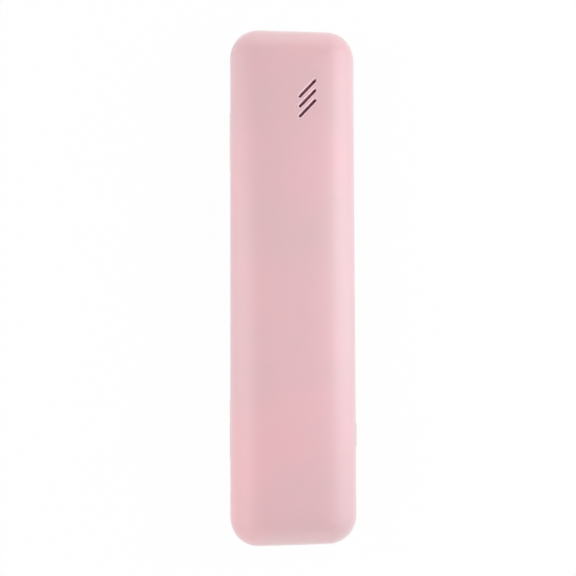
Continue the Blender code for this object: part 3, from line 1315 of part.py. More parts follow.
def build_reflector(material, pivot):
    """Polished sheet that throws the lamp's light back on the brush head."""
    size = (REFLECTOR_WIDTH, REFLECTOR_LENGTH, REFLECTOR_THICKNESS)
    mesh = rounded_box_mesh("reflector_plate", size, REFLECTOR_CORNER, "Z", 4)
    place = (0.0, CHAMBER_MIDDLE, REFLECTOR_UNDER + REFLECTOR_THICKNESS / 2)
    plate = add_node("reflector_plate", mesh, material, place, pivot)
    holes = [(x, y, LINER_RIM, CASE_HEIGHT, STAKE_RADIUS + SEAT_GAP) for x, y in stake_places()]
    cut(plate, add_tool("reflector_holes", uprights_mesh("reflector_holes", holes, SMALL_FACETS)))
    for tool in vent_tools("reflector_vent", LINER_RIM, LINER_OUTSIDE, VENT_PATH_MARGIN):
        cut(plate, tool)


def build_vent_mesh(material, pivot):
    """Fine dark mesh held under the vent slots."""
    slope = math.radians(VENT_ANGLE_DEG)
    reach_x = VENT_LENGTH * math.cos(slope) + 2 * VENT_MESH_MARGIN
    reach_y = VENT_LENGTH * math.sin(slope) + (VENT_COUNT - 1) * VENT_PITCH + 2 * VENT_MESH_MARGIN
    middle_y = HALF_LENGTH - VENT_FROM_END
    corner = crown_at(VENT_X + reach_x / 2, middle_y + reach_y / 2)
    top = CASE_HEIGHT - LID_CROWN + corner - WALL - SEAT_GAP
    mesh = rounded_box_mesh("vent_mesh", (reach_x, reach_y, VENT_MESH_THICKNESS), VENT_MESH_CORNER, "Z", 3)
    add_node("vent_mesh", mesh, material, (VENT_X, middle_y, top - VENT_MESH_THICKNESS / 2), pivot)


def make_materials():
    """Returns the case's materials by the name of their slot."""
    return {
        "shell": make_material("soft_pink_shell", (0.76, 0.50, 0.53), 0.55),
        "button": make_material("soft_pink_button", (0.72, 0.46, 0.50), 0.50),
        "white": make_material("white_moulding", (0.85, 0.85, 0.84), 0.45),
        "board": make_material("green_board", (0.03, 0.22, 0.09), 0.45),
        "white_board": make_material("white_lamp_board", (0.80, 0.81, 0.80), 0.40),
        "chip": make_material("black_package", (0.03, 0.03, 0.035), 0.45),
        "ferrite": make_material("grey_ferrite", (0.12, 0.12, 0.13), 0.60),
        "nylon": make_material("ivory_nylon", (0.78, 0.74, 0.64), 0.50),
        "steel": make_material("zinc_steel", (0.62, 0.62, 0.64), 0.30, 1.0),
        "lamp": make_material("lamp_package", (0.88, 0.86, 0.72), 0.30),
        "clear": make_material("clear_plastic", (0.90, 0.94, 0.98), 0.05, 0.0, 0.4),
        "silicone": make_material("grey_silicone", (0.40, 0.41, 0.43), 0.65),
        "foil": make_material("pouch_foil", (0.66, 0.67, 0.70), 0.35, 0.7),
        "tape": make_material("white_tape", (0.82, 0.82, 0.78), 0.80),
        "wire_red": make_material("red_insulation", (0.62, 0.03, 0.03), 0.45),
        "wire_black": make_material("black_insulation", (0.02, 0.02, 0.02), 0.45),
        "magnet": make_material("plated_magnet", (0.60, 0.60, 0.62), 0.25, 1.0),
        "mirror": make_material("polished_sheet", (0.90, 0.91, 0.92), 0.08, 1.0),
        "mesh": make_material("dark_mesh", (0.09, 0.03, 0.04), 0.85),
    }


def main():
    """Builds the whole case."""
    clear_scene()
    make_collection(COLLECTION)
    make_collection(CUTTERS, hidden=True)
    materials = make_materials()

    build_base_shell(materials["shell"])
    build_inner_tray(materials["white"])
    build_tray_screws(materials["steel"])
    build_main_board(materials)
    build_usb_port(materials["steel"])
    build_charge_light(materials)
    build_switch(materials)
    build_button(materials)
    battery_height = build_battery(materials)
    build_wires(materials, battery_height)
    build_lamp(materials)
    build_magnets("base_magnet", BASE_MAGNET_TOP - MAGNET_THICKNESS, materials["magnet"])
    build_hinge_pins(materials["steel"])

    pivot = add_pivot("lid_hinge_axis", (HINGE_X, 0.0, HINGE_Z))
    build_lid_shell(materials["shell"], pivot)
    build_lid_liner(materials["white"], pivot)
    build_reflector(materials["mirror"], pivot)
    build_vent_mesh(materials["mesh"], pivot)
    build_magnets("lid_magnet", LID_MAGNET_UNDER, materials["magnet"], pivot)
    for name, (x, y) in liner_screw_places().items():
        place = (x, y, LINER_CEILING - SOLDER_GAP)
        add_screw(name, materials["steel"], place, LINER_SCREW_LENGTH, pointing_up=True, parent=pivot)


main()
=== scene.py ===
"""Looks for a slim travel case that holds a toothbrush under a sterilising lamp.

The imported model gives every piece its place. This file gives each piece its finish, and makes finer
shapes for the ones whose look needs them: the two shells, the white mouldings, the start button, the
screws, the lamps, the charging port, the parts on the board and the woven sheet behind the vents.
All lengths are in metres, in the case's own frame: +Z up through the lid, +Y to the brush-head end,
+X to the side with the start button.
"""

from __future__ import annotations

import json
import logging
import math
from dataclasses import dataclass, field
from enum import Enum
from functools import cache
from typing import Callable, Iterable, Sequence

import bmesh
import bpy
from mathutils import Matrix, Vector

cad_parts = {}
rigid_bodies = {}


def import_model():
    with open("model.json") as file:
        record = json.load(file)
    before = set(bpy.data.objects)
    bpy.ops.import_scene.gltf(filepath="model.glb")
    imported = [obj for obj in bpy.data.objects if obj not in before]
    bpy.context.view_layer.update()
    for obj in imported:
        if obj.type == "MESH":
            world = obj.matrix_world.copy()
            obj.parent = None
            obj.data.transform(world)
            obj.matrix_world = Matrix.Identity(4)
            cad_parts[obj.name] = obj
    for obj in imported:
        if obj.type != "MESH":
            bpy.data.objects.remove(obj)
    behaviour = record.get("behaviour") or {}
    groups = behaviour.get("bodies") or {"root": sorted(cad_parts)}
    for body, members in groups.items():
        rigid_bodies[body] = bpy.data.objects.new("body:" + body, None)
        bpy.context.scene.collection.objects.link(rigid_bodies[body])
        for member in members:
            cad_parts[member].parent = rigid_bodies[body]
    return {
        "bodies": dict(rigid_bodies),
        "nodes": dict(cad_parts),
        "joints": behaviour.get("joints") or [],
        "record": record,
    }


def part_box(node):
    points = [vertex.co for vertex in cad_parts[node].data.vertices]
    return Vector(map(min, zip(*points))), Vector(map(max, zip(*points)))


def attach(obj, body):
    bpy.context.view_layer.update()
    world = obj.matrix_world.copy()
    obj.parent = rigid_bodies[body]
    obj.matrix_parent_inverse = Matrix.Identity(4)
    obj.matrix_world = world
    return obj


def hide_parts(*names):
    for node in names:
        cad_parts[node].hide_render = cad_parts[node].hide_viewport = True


LOG = logging.getLogger("travel_case")

Item = bpy.types.Object
Socket = bpy.types.NodeSocket
Colour = tuple[float, float, float]
Point = tuple[float, float, float]
Feed = Socket | Item | bpy.types.Material | Sequence[float] | float | str

NODES: dict[str, Item] = {}
UNTURNED: Point = (0.0, 0.0, 0.0)
# Points of one solid that are closer than this are the same point.
WELD = 2e-7


def paint(*levels: int) -> Colour:
    """Returns the linear colour that a shader takes for red, green and blue on a screen, 0 to 255."""
    shares = [level / 255 for level in levels]
    return tuple(s / 12.92 if s <= 0.04045 else ((s + 0.055) / 1.055) ** 2.4 for s in shares)


class Body(Enum):
    """The bodies that pieces ride on."""

    BASE = "base"
    LID = "lid"
    BUTTON = "button"


class Axis(Enum):
    """Directions that a rod can run in."""

    Y = Matrix.Rotation(-math.pi / 2, 4, "X")
    Z = Matrix.Identity(4)


@dataclass(frozen=True)
class CaseSizes:
    """Outer sizes of the case, and the places that several sub-assemblies share."""

    width: float = 0.0500
    length: float = 0.2050
    base_height: float = 0.0150
    lid_rim: float = 0.0153
    lid_flat: float = 0.0291
    crown: float = 0.00088
    corner_radius: float = 0.0114
    base_edge: float = 0.0086
    lid_edge: float = 0.0106
    wall: float = 0.0020
    seat_gap: float = 0.0003
    hinge_x: float = -0.02355
    hinge_z: float = 0.01515
    hinge_y: float = 0.0580
    knuckle_radius: float = 0.0017
    knuckle_length: float = 0.0078
    knuckle_step: float = 0.0081
    pin_bore: float = 0.00075
    chamfer_deg: float = 55.0
    shelf_x: tuple[float, float] = (0.0188, 0.0236)
    shelf_thickness: float = 0.0012
    shelf_reach: float = 0.001

    def crown_at(self, x: float, y: float) -> float:
        """Gives the height of the lid's crown over its flat.

        Args:
            x: The place's x.
            y: The place's y.

        Returns:
            The height.
        """
        across = 1 - (2 * x / self.width) ** 2
        along = 1 - (2 * y / self.length) ** 4
        return self.crown * max(across, 0.0) * max(along, 0.0)


SIZES = CaseSizes()


class Graph:
    """Adds nodes to one node tree and links them."""

    def __init__(self, tree: bpy.types.NodeTree) -> None:
        """Keeps the tree that the nodes go into."""
        self.tree = tree

    def node(
        self, kind: str, feeds: dict[str | int, Feed] | None = None, **settings: object
    ) -> bpy.types.Node:
        """Adds a node.

        Args:
            kind: The node's type.
            feeds: A value or a socket for each of its inputs, by name or by number.
            **settings: The node's own options.

        Returns:
            The node.
        """
        made = self.tree.nodes.new(kind)
        for option, value in settings.items():
            setattr(made, option, value)
        for key, value in (feeds or {}).items():
            if isinstance(value, Socket):
                self.tree.links.new(value, made.inputs[key])
            else:
                made.inputs[key].default_value = value
        return made

    def math(self, operation: str, *values: Feed) -> Socket:
        """Adds a sum of one or two numbers and returns its result."""
        return self.node("ShaderNodeMath", dict(enumerate(values)), operation=operation).outputs[0]

    def product(self, first: Feed, *others: Feed) -> Socket:
        """Multiplies several numbers.

        Args:
            first: One of them.
            *others: The others.

        Returns:
            Their product.
        """
        for other in others:
            first = self.math("MULTIPLY", first, other)
        return first

    def less(self, number: Feed, other: Feed) -> Socket:
        """Returns a number less another one."""
        return self.math("SUBTRACT", number, other)

    def vector(self, operation: str, *values: Feed) -> Socket:
        """Adds a sum of one or two vectors and returns its result."""
        return self.node("ShaderNodeVectorMath", dict(enumerate(values)), operation=operation).outputs[0]

    def scaled(self, vector: Feed, factor: Feed) -> Socket:
        """Returns a vector times a number."""
        feeds = {"Vector": vector, "Scale": factor}
        return self.node("ShaderNodeVectorMath", feeds, operation="SCALE").outputs[0]

    def parts(self, vector: Feed) -> tuple[Socket, ...]:
        """Returns the x, y and z of a vector."""
        return tuple(self.node("ShaderNodeSeparateXYZ", {0: vector}).outputs)

    def joined(self, x: Feed, y: Feed, z: Feed) -> Socket:
        """Returns the vector of three numbers."""
        return self.node("ShaderNodeCombineXYZ", {0: x, 1: y, 2: z}).outputs[0]

    def blended(self, factor: Feed, low: Colour, high: Colour) -> Socket:
        """Returns a colour between two colours."""
        feeds = {0: factor, 6: (*low, 1.0), 7: (*high, 1.0)}
        return self.node("ShaderNodeMix", feeds, data_type="RGBA").outputs[2]

    def seen_by(self, *rays: str) -> Socket:
        """Tells some kinds of ray from the others.

        Args:
            *rays: The kinds, as the light path node names them.

        Returns:
            1 for a ray of these kinds and 0 for another one.
        """
        path = self.node("ShaderNodeLightPath")
        seen: Feed = 0.0
        for ray in rays:
            seen = self.math("MAXIMUM", seen, path.outputs[f"Is {ray} Ray"])
        return seen


class Shade(Graph):
    """A material's node tree, with the patterns that the finishes share."""

    # The usual range of a noise texture's result.
    LEAST, MOST = 0.3, 0.7

    def __init__(self, name: str) -> None:
        """Starts a material with an empty surface shader.

        Args:
            name: The material's name.
        """
        self.material = bpy.data.materials.new(name)
        self.material.use_nodes = True
        super().__init__(self.material.node_tree)
        self.surface = self.tree.nodes["Principled BSDF"]
        self.place = self.node("ShaderNodeTexCoord").outputs["Object"]

    def set(self, **values: object) -> None:
        """Sets constants on the surface shader.

        Args:
            **values: Each input's value, by its name in lower case with underscores.
        """
        for key, value in values.items():
            words = key.replace("_", " ").lower()
            socket = next(s for s in self.surface.inputs if s.name.lower() == words)
            socket.default_value = value

    def feed(self, name: str, socket: Socket) -> None:
        """Links a pattern to one of the surface shader's inputs."""
        self.tree.links.new(socket, self.surface.inputs[name])

    def stretched(self, factors: Point) -> Socket:
        """Returns the place on the piece with each direction scaled."""
        return self.node("ShaderNodeMapping", {"Vector": self.place, "Scale": factors}).outputs[0]

    def clouds(self, size: float, detail: float = 3.0, at: Feed | None = None) -> Socket:
        """Returns soft noise whose patches are about one size across."""
        feeds = {"Vector": self.place if at is None else at, "Scale": 1 / size, "Detail": detail}
        return self.node("ShaderNodeTexNoise", feeds).outputs[0]

    def bands(self, scale: float, direction: str, distortion: float = 0.0) -> Socket:
        """Returns soft bands that follow one another along a direction."""
        feeds = {"Vector": self.place, "Scale": scale, "Distortion": distortion}
        return self.node("ShaderNodeTexWave", feeds, bands_direction=direction).outputs["Fac"]

    def cells(self, scale: float, feature: str, **feeds: float) -> Socket:
        """Returns the distance to the nearest of many scattered spots."""
        named = {"Vector": self.place, "Scale": scale, **feeds}
        return self.node("ShaderNodeTexVoronoi", named, feature=feature).outputs["Distance"]

    def spread(self, value: Feed, low: float, high: float) -> Socket:
        """Returns a noise value taken from its usual range to another range."""
        ends = {"From Min": self.LEAST, "From Max": self.MOST, "To Min": low, "To Max": high}
        return self.node("ShaderNodeMapRange", {"Value": value, **ends}).outputs[0]

    def relief(self, height: Socket, depth: float) -> None:
        """Gives the surface a fine relief of a depth."""
        bump = self.node("ShaderNodeBump", {"Height": height, "Distance": depth, "Strength": 1.0})
        self.feed("Normal", bump.outputs[0])


def tinted(colour: Colour, factor: float) -> Colour:
    """Returns a colour made lighter or darker by a factor."""
    return tuple(min(part * factor, 1.0) for part in colour)


def drifted(colour: Colour, amount: float) -> Colour:
    """Returns a colour moved from grey towards pink by a small share, or the other way."""
    return (colour[0] * (1 + amount), colour[1] * (1 - amount), colour[2] * (1 - amount / 2))


@dataclass(frozen=True)
class Moulding:
    """Moulded plastic, nylon or rubber, with a moulded grain and slight clouds of shade."""

    name: str
    colour: Colour
    roughness: float = 0.5
    shade_range: float = 0.02
    cloud_size: float = 0.03
    cloud_stretch: Point = (1.0, 1.0, 1.0)
    grain_size: float = 0.0006
    grain_depth: float = 0.000004
    gloss_range: float = 0.03
    specular: float = 0.5
    sheen: float = 0.0
    sheen_roughness: float = 0.4
    coat: float = 0.0
    coat_roughness: float = 0.15
    coat_ior: float = 1.5
    hue_drift: float = 0.0
    glow: float = 0.0
    glow_depth: float = 0.0012
    glow_radius: Point = (1.0, 0.55, 0.45)

    def make(self) -> bpy.types.Material:
        """Makes the material.

        Returns:
            The material, whose patterns lie in the piece's own space.
        """
        shade = Shade(self.name)
        clouds = shade.clouds(self.cloud_size, at=shade.stretched(self.cloud_stretch))
        low = drifted(tinted(self.colour, 1 - self.shade_range), -self.hue_drift)
        high = drifted(tinted(self.colour, 1 + self.shade_range), self.hue_drift)
        shade.feed("Base Color", shade.blended(shade.spread(clouds, 0.0, 1.0), low, high))
        grain = shade.clouds(self.grain_size, detail=2.0)
        gloss = (self.roughness - self.gloss_range, self.roughness + self.gloss_range)
        shade.feed("Roughness", shade.spread(grain, *gloss))
        shade.relief(grain, self.grain_depth)
        shade.set(specular_ior_level=self.specular)
        shade.set(sheen_weight=self.sheen, sheen_roughness=self.sheen_roughness)
        shade.set(coat_weight=self.coat, coat_roughness=self.coat_roughness, coat_ior=self.coat_ior)
        if self.glow > 0:
            shade.set(subsurface_weight=self.glow, subsurface_scale=self.glow_depth)
            shade.set(subsurface_radius=self.glow_radius)
        return shade.material


@dataclass(frozen=True)
class Metal:
    """Rolled, plated or polished metal, with streaks along one direction and faint stains."""

    name: str
    colour: Colour
    roughness: float = 0.3
    streak: Point = (1.0, 12.0, 12.0)
    streak_size: float = 0.004
    depth: float = 0.000002
    stain_size: float = 0.006
    stain_shade: float = 0.9
    gloss_range: tuple[float, float] = (0.75, 1.3)

    def make(self) -> bpy.types.Material:
        """Makes the material.

        Returns:
            The material, whose patterns lie in the piece's own space.
        """
        shade = Shade(self.name)
        streaks = shade.clouds(self.streak_size, detail=5.0, at=shade.stretched(self.streak))
        stains = shade.spread(shade.clouds(self.stain_size, detail=4.0), 0.0, 1.0)
        stained = tinted(self.colour, self.stain_shade)
        shade.feed("Base Color", shade.blended(stains, stained, self.colour))
        low, high = self.gloss_range
        shade.feed("Roughness", shade.spread(streaks, self.roughness * low, self.roughness * high))
        shade.relief(streaks, self.depth)
        shade.set(metallic=1.0)
        return shade.material


@dataclass(frozen=True)
class ClearPlastic:
    """Clear moulded plastic or glass, with faint wiping marks and a trace of haze."""

    name: str
    colour: Colour
    roughness: float = 0.03
    ior: float = 1.49
    mark_size: float = 0.0015
    mark_stretch: Point = (1.0, 6.0, 1.0)
    gloss_range: tuple[float, float] = (0.5, 2.5)
    haze_size: float = 0.008
    haze_shade: float = 0.97

    def make(self) -> bpy.types.Material:
        """Makes the material.

        Returns:
            The material, whose patterns lie in the piece's own space.
        """
        shade = Shade(self.name)
        marks = shade.clouds(self.mark_size, detail=6.0, at=shade.stretched(self.mark_stretch))
        low, high = self.gloss_range
        shade.feed("Roughness", shade.spread(marks, self.roughness * low, self.roughness * high))
        haze = shade.clouds(self.haze_size, detail=2.0)
        shade.feed("Base Color", shade.blended(haze, tinted(self.colour, self.haze_shade), self.colour))
        shade.set(transmission_weight=1.0, ior=self.ior)
        return shade.material


@dataclass(frozen=True)
class BoardMask:
    """A circuit board: solder mask over raised copper traces, with plated vias between them."""

    name: str
    mask: Colour
    trace: Colour
    pitch: float = 0.0009
    via_pitch: float = 0.0021
    band_scale: float = 0.3142
    trace_level: float = 0.82
    via_level: float = 0.09
    via_scatter: float = 0.7
    group_size: float = 0.007
    group_stretch: Point = (1.0, 0.4, 1.0)
    group_level: float = 0.5
    copper_height: float = 0.00003
    gloss_size: float = 0.004
    gloss_range: tuple[float, float] = (0.28, 0.42)

    def make(self) -> bpy.types.Material:
        """Makes the material.

        Returns:
            The material, whose patterns lie in the piece's own space.
        """
        shade = Shade(self.name)
        bands = shade.bands(self.band_scale / self.pitch, "X")
        lines = shade.math("GREATER_THAN", bands, self.trace_level)
        groups = shade.clouds(self.group_size, detail=0.0, at=shade.stretched(self.group_stretch))
        traces = shade.product(lines, shade.math("GREATER_THAN", groups, self.group_level))
        cells = shade.cells(1 / self.via_pitch, "F1", Randomness=self.via_scatter)
        spots = shade.math("LESS_THAN", cells, self.via_level)
        copper = shade.math("MAXIMUM", traces, shade.product(spots, shade.less(1.0, lines)))
        shade.feed("Base Color", shade.blended(copper, self.mask, self.trace))
        shade.relief(copper, self.copper_height)
        gloss = shade.clouds(self.gloss_size, detail=2.0)
        shade.feed("Roughness", shade.spread(gloss, *self.gloss_range))
        return shade.material


@dataclass(frozen=True)
class FoamSheet:
    """A foamed sheet with the relief of its two crossed sets of threads, and painted shade in the hollows
    between them.
    """

    name: str
    colour: Colour
    pitch: float = 0.0005
    band_scale: float = 0.32
    waviness: float = 0.4
    depth_share: float = 0.2
    roughness: float = 0.9
    low_shade: float = 0.6
    sheen: float = 0.2

    def make(self) -> bpy.types.Material:
        """Makes the material.

        Returns:
            The material, whose patterns lie in the piece's own space.
        """
        shade = Shade(self.name)
        scale = self.band_scale / self.pitch
        weave = shade.math("MAXIMUM", *(shade.bands(scale, way, self.waviness) for way in ("X", "Y")))
        # Darker colour where the relief is low: painted shade between the threads.
        shade.feed("Base Color", shade.blended(weave, tinted(self.colour, self.low_shade), self.colour))
        shade.relief(weave, self.pitch * self.depth_share)
        shade.set(roughness=self.roughness, sheen_weight=self.sheen)
        return shade.material


@dataclass(frozen=True)
class PouchFoil:
    """Dull foil of a battery pouch, with its shallow dents and creases, and painted shade in the dents.
    """

    name: str
    colour: Colour
    dent_scale: float = 160.0
    dent_softness: float = 0.6
    dent_depth: float = 0.00008
    crease_size: float = 0.0012
    crease_share: float = 0.15
    low_shade: float = 0.85
    metallic: float = 0.85
    gloss_range: tuple[float, float] = (0.32, 0.48)

    def make(self) -> bpy.types.Material:
        """Makes the material.

        Returns:
            The material, whose patterns lie in the piece's own space.
        """
        shade = Shade(self.name)
        dents = shade.cells(self.dent_scale, "SMOOTH_F1", Smoothness=self.dent_softness)
        creases = shade.clouds(self.crease_size, detail=4.0)
        shade.relief(shade.math("ADD", dents, shade.product(creases, self.crease_share)), self.dent_depth)
        shade.feed("Roughness", shade.spread(creases, *self.gloss_range))
        # Darker colour in the hollows of the dents: painted shade.
        shade.feed("Base Color", shade.blended(dents, tinted(self.colour, self.low_shade), self.colour))
        shade.set(metallic=self.metallic)
        return shade.material


Finish = Moulding | Metal | ClearPlastic | BoardMask | FoamSheet | PouchFoil

SHELL_PINK = Moulding(
    "soft_touch_pink",
    paint(230, 184, 188),
    roughness=0.52,
    shade_range=0.035,
    cloud_size=0.035,
    cloud_stretch=(1.0, -0.9, 1.0),
    specular=0.9,
    sheen=1.0,
    coat=0.8,
    coat_roughness=0.5,
    coat_ior=1.7,
    hue_drift=0.034,
)
# A lighter pink painted on the rims of the vent slots: a painted highlight.
SLOT_RIM_HIGHLIGHT = Moulding("slot_rim_pink", paint(246, 218, 225), 0.4, 0.01)
BUTTON_PINK = Moulding("button_pink", paint(214, 180, 184))
WHITE_MOULDING = Moulding("white_moulding", paint(236, 234, 230), 0.42, 0.012, 0.02, glow=0.05)
IVORY_NYLON = Moulding("ivory_nylon", paint(226, 217, 192), 0.5, 0.03, 0.002)
CHIP_BLACK = Moulding("chip_black", paint(34, 34, 36), 0.55, cloud_size=0.002, grain_size=0.0002)
TONGUE_BLACK = Moulding("tongue_black", paint(38, 38, 40), cloud_size=0.002, grain_size=0.0002)
FERRITE = Moulding("ferrite", paint(74, 72, 72), 0.7, grain_size=0.0002, grain_depth=0.00001)
SILICONE = Moulding("grey_silicone", paint(140, 143, 147), 0.65, sheen=0.2)
LAMP_CERAMIC = Moulding("lamp_ceramic", paint(236, 232, 214), 0.35, grain_size=0.0002)
LAMP_DIE = Moulding("lamp_die", paint(204, 178, 92), 0.3, grain_size=0.0001, coat=0.6)
PILOT_LAMP = Moulding("pilot_lamp", paint(240, 238, 222), 0.25, coat=0.5)
LIGHT_PIPE = Moulding("frosted_light_pipe", paint(232, 233, 230), 0.3, cloud_size=0.002, coat=0.3)
VENT_WEAVE = Moulding("vent_weave", paint(206, 132, 148), 0.7, cloud_size=0.001, grain_size=0.0002)
RED_WIRE = Moulding("red_insulation", paint(176, 32, 30), 0.4, cloud_size=0.006)
BLACK_WIRE = Moulding("black_insulation", paint(28, 28, 30), 0.4, cloud_size=0.006)
SCREW_STEEL = Metal("zinc_plated_steel", paint(206, 207, 210), 0.28)
PIN_STEEL = Metal("hinge_pin_steel", paint(190, 190, 192), 0.35, (12.0, 1.0, 12.0))
PORT_STEEL = Metal("port_steel", paint(198, 199, 202), 0.3, (1.0, 10.0, 1.0))
GOLD = Metal("contact_gold", paint(222, 184, 108), 0.25, streak_size=0.001)
NICKEL = Metal("magnet_nickel", paint(204, 203, 198), 0.2)
MIRROR = Metal("polished_sheet", paint(236, 238, 240), 0.07, (1.0, 20.0, 1.0), 0.006, 0.0000006)
CLEAR = ClearPlastic("clear_window", (0.96, 0.98, 1.0))
LENS = ClearPlastic("lamp_window", (1.0, 1.0, 1.0), 0.01, 1.46)
GREEN_BOARD = BoardMask("green_mask", paint(24, 92, 52), paint(52, 128, 80))
WHITE_BOARD = BoardMask("white_mask", paint(226, 228, 226), paint(198, 198, 190), 0.0016, 0.004)
TAPE = FoamSheet("foam_tape", paint(228, 226, 218), 0.0004)
FOIL = PouchFoil("pouch_foil", paint(196, 198, 203))


@cache
def material_of(finish: Finish) -> bpy.types.Material:
    """Returns a finish's material, made on first use."""
    return finish.make()


def middle_of(node: str) -> Vector:
    """Returns the middle of a solid's box."""
    low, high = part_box(node)
    return (low + high) / 2


def nodes_named(*starts: str) -> list[str]:
    """Returns the solids whose names start in one of these ways, in order."""
    return sorted(name for name in NODES if name.startswith(starts))


def linked(name: str, mesh: bpy.types.Mesh | None = None) -> Item:
    """Puts a mesh, or an empty one, into the scene as a new object.

    Args:
        name: The object's name.
        mesh: The mesh.

    Returns:
        The object.
    """
    made = bpy.data.objects.new(name, mesh or bpy.data.meshes.new(name))
    bpy.context.scene.collection.objects.link(made)
    return made


def new_object(name: str, bm: bmesh.types.BMesh) -> Item:
    """Turns a finished bmesh, which is freed, into an object in the scene.

    Args:
        name: The object's name.
        bm: The bmesh.

    Returns:
        The object.
    """
    made = linked(name)
    bm.to_mesh(made.data)
    bm.free()
    return made


def apply_modifiers(made: Item) -> None:
    """Turns what an object's modifiers make into its own plain mesh.

    Args:
        made: The object.
    """
    graph = bpy.context.evaluated_depsgraph_get()
    mesh = bpy.data.meshes.new_from_object(made.evaluated_get(graph), depsgraph=graph)
    made.modifiers.clear()
    made.data = mesh


def settle(made: Item, sharp_deg: float = 35.0) -> Item:
    """Applies an object's modifiers, shades it smooth and keeps its sharp edges.

    Args:
        made: The object.
        sharp_deg: Edges that turn more than this stay sharp.

    Returns:
        The same object with a plain mesh.
    """
    apply_modifiers(made)
    bm = bmesh.new()
    bm.from_mesh(made.data)
    bmesh.ops.dissolve_degenerate(bm, dist=WELD, edges=bm.edges)
    if bm.calc_volume(signed=True) < 0:
        bmesh.ops.reverse_faces(bm, faces=bm.faces)
    bm.to_mesh(made.data)
    bm.free()
    made.data.shade_smooth()
    made.data.set_sharp_from_angle(angle=math.radians(sharp_deg))
    return made


def finish_piece(
    made: Item, finish: Finish, body: Body, nodes: Sequence[str] = ()
) -> Item:
    """Gives a new piece its material, its body and the solids that it stands for.

    Args:
        made: The piece, in place.
        finish: Its finish.
        body: The body that it rides on.
        nodes: The solids that it replaces.

    Returns:
        The piece.
    """
    made.data.materials.clear()
    made.data.materials.append(material_of(finish))
    for polygon in made.data.polygons:
        polygon.material_index = 0
    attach(made, body.value)
    if nodes:
        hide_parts(*nodes)
    LOG.info("%s: %d faces, %s, on the %s", made.name, len(made.data.polygons), finish.name, body.value)
    return made


def retouch(made: Item, finish: Finish, chosen: Callable[[bpy.types.MeshPolygon], bool]) -> None:
    """Gives another finish to some faces of a piece.

    Args:
        made: The piece.
        finish: The other finish.
        chosen: Says of a face whether it is one of them.
    """
    made.data.materials.append(material_of(finish))
    number = len(made.data.materials) - 1
    for polygon in made.data.polygons:
        if chosen(polygon):
            polygon.material_index = number


def boxes(name: str, spans: Iterable[tuple[Sequence[float], Sequence[float]]]) -> Item:
    """Makes boxes.

    Args:
        name: The object's name.
        spans: Each box as its low corner and its high corner.

    Returns:
        One object that holds them all.
    """
    bm = bmesh.new()
    for low, high in spans:
        size = Vector(high) - Vector(low)
        place = Matrix.Translation((Vector(low) + Vector(high)) / 2)
        bmesh.ops.create_cube(bm, size=1.0, matrix=place @ Matrix.Diagonal((*size, 1.0)))
    return new_object(name, bm)


def rods(
    name: str,
    places: Iterable[tuple[Sequence[float], float, float]],
    axis: Axis = Axis.Z,
    facets: int = 32,
    ease: float = 0.0,
) -> Item:
    """Makes round rods.

    Args:
        name: The object's name.
        places: Centre, radius and length of each rod.
        axis: The direction that they run in.
        facets: Flats round each rod.
        ease: Width of the bevel at their ends.

    Returns:
        One object that holds them all.
    """
    bm = bmesh.new()
    for centre, radius, length in places:
        matrix = Matrix.Translation(centre) @ axis.value
        sizes = {"radius1": radius, "radius2": radius, "depth": length}
        made = bmesh.ops.create_cone(bm, cap_ends=True, segments=facets, matrix=matrix, **sizes)
        if ease > 0:
            caps = {f for v in made["verts"] for f in v.link_faces if len(f.verts) > 4}
            edges = list({e for f in caps for e in f.edges})
            bmesh.ops.bevel(bm, geom=edges, offset=ease, segments=2, profile=0.5, affect="EDGES")
    return new_object(name, bm)


def slotted(
    name: str, length: float, width: float, levels: Sequence[tuple[float, float]], steps: int = 12
) -> Item:
    """Makes an upright form with round ends whose outline grows from level to level.

    Args:
        name: The object's name.
        length: Length along x.
        width: Width along y.
        levels: Height of each outline, and how far it grows outward there.
        steps: Facets round each end.

    Returns:
        The closed form, with its middle on the z axis.
    """
    bm = bmesh.new()
    rings = []
    half = (length - width) / 2
    for height, grow in levels:
        ring = []
        radius = width / 2 + grow
        for end in (1, -1):
            for step in range(steps + 1):
                turn = -math.pi / 2 + math.pi * step / steps
                x = end * (half + radius * math.cos(turn))
                ring.append(bm.verts.new((x, end * radius * math.sin(turn), height)))
        rings.append(ring)
    for below, above in zip(rings, rings[1:]):
        for i, vert in enumerate(below):
            after = (i + 1) % len(below)
            bm.faces.new((vert, below[after], above[after], above[i]))
    bm.faces.new(list(reversed(rings[0])))
    bm.faces.new(rings[-1])
    bmesh.ops.remove_doubles(bm, verts=bm.verts, dist=1e-7)
    bmesh.ops.recalc_face_normals(bm, faces=bm.faces)
    return new_object(name, bm)


def eased_levels(low: float, radius: float, high: float, steps: int = 5) -> list[tuple[float, float]]:
    """Gives the levels of a cutter that leaves a rounded edge round the hole it cuts.

    Args:
        low: Depth that it reaches below the surface, as a height under zero.
        radius: Radius of the rounded edge.
        high: Height that it reaches over the surface.
        steps: Facets across the rounded edge.

    Returns:
        Heights and growths for slotted().
    """
    turns = [math.pi / 2 * step / steps for step in range(steps + 1)]
    rounded = [(-radius + radius * math.sin(turn), radius - radius * math.cos(turn)) for turn in turns]
    return [(low, 0.0), *rounded, (high, radius)]


def carve(made: Item, tool: Item, operation: str = "DIFFERENCE") -> None:
    """Cuts a piece with a tool, or joins the tool to it, and puts the tool away.

    Args:
        made: The piece.
        tool: The other solid.
        operation: DIFFERENCE or UNION.
    """
    step = made.modifiers.new(tool.name, "BOOLEAN")
    step.operation = operation
    step.solver = "EXACT"
    step.object = tool
    apply_modifiers(made)
    bpy.data.objects.remove(tool, do_unlink=True)


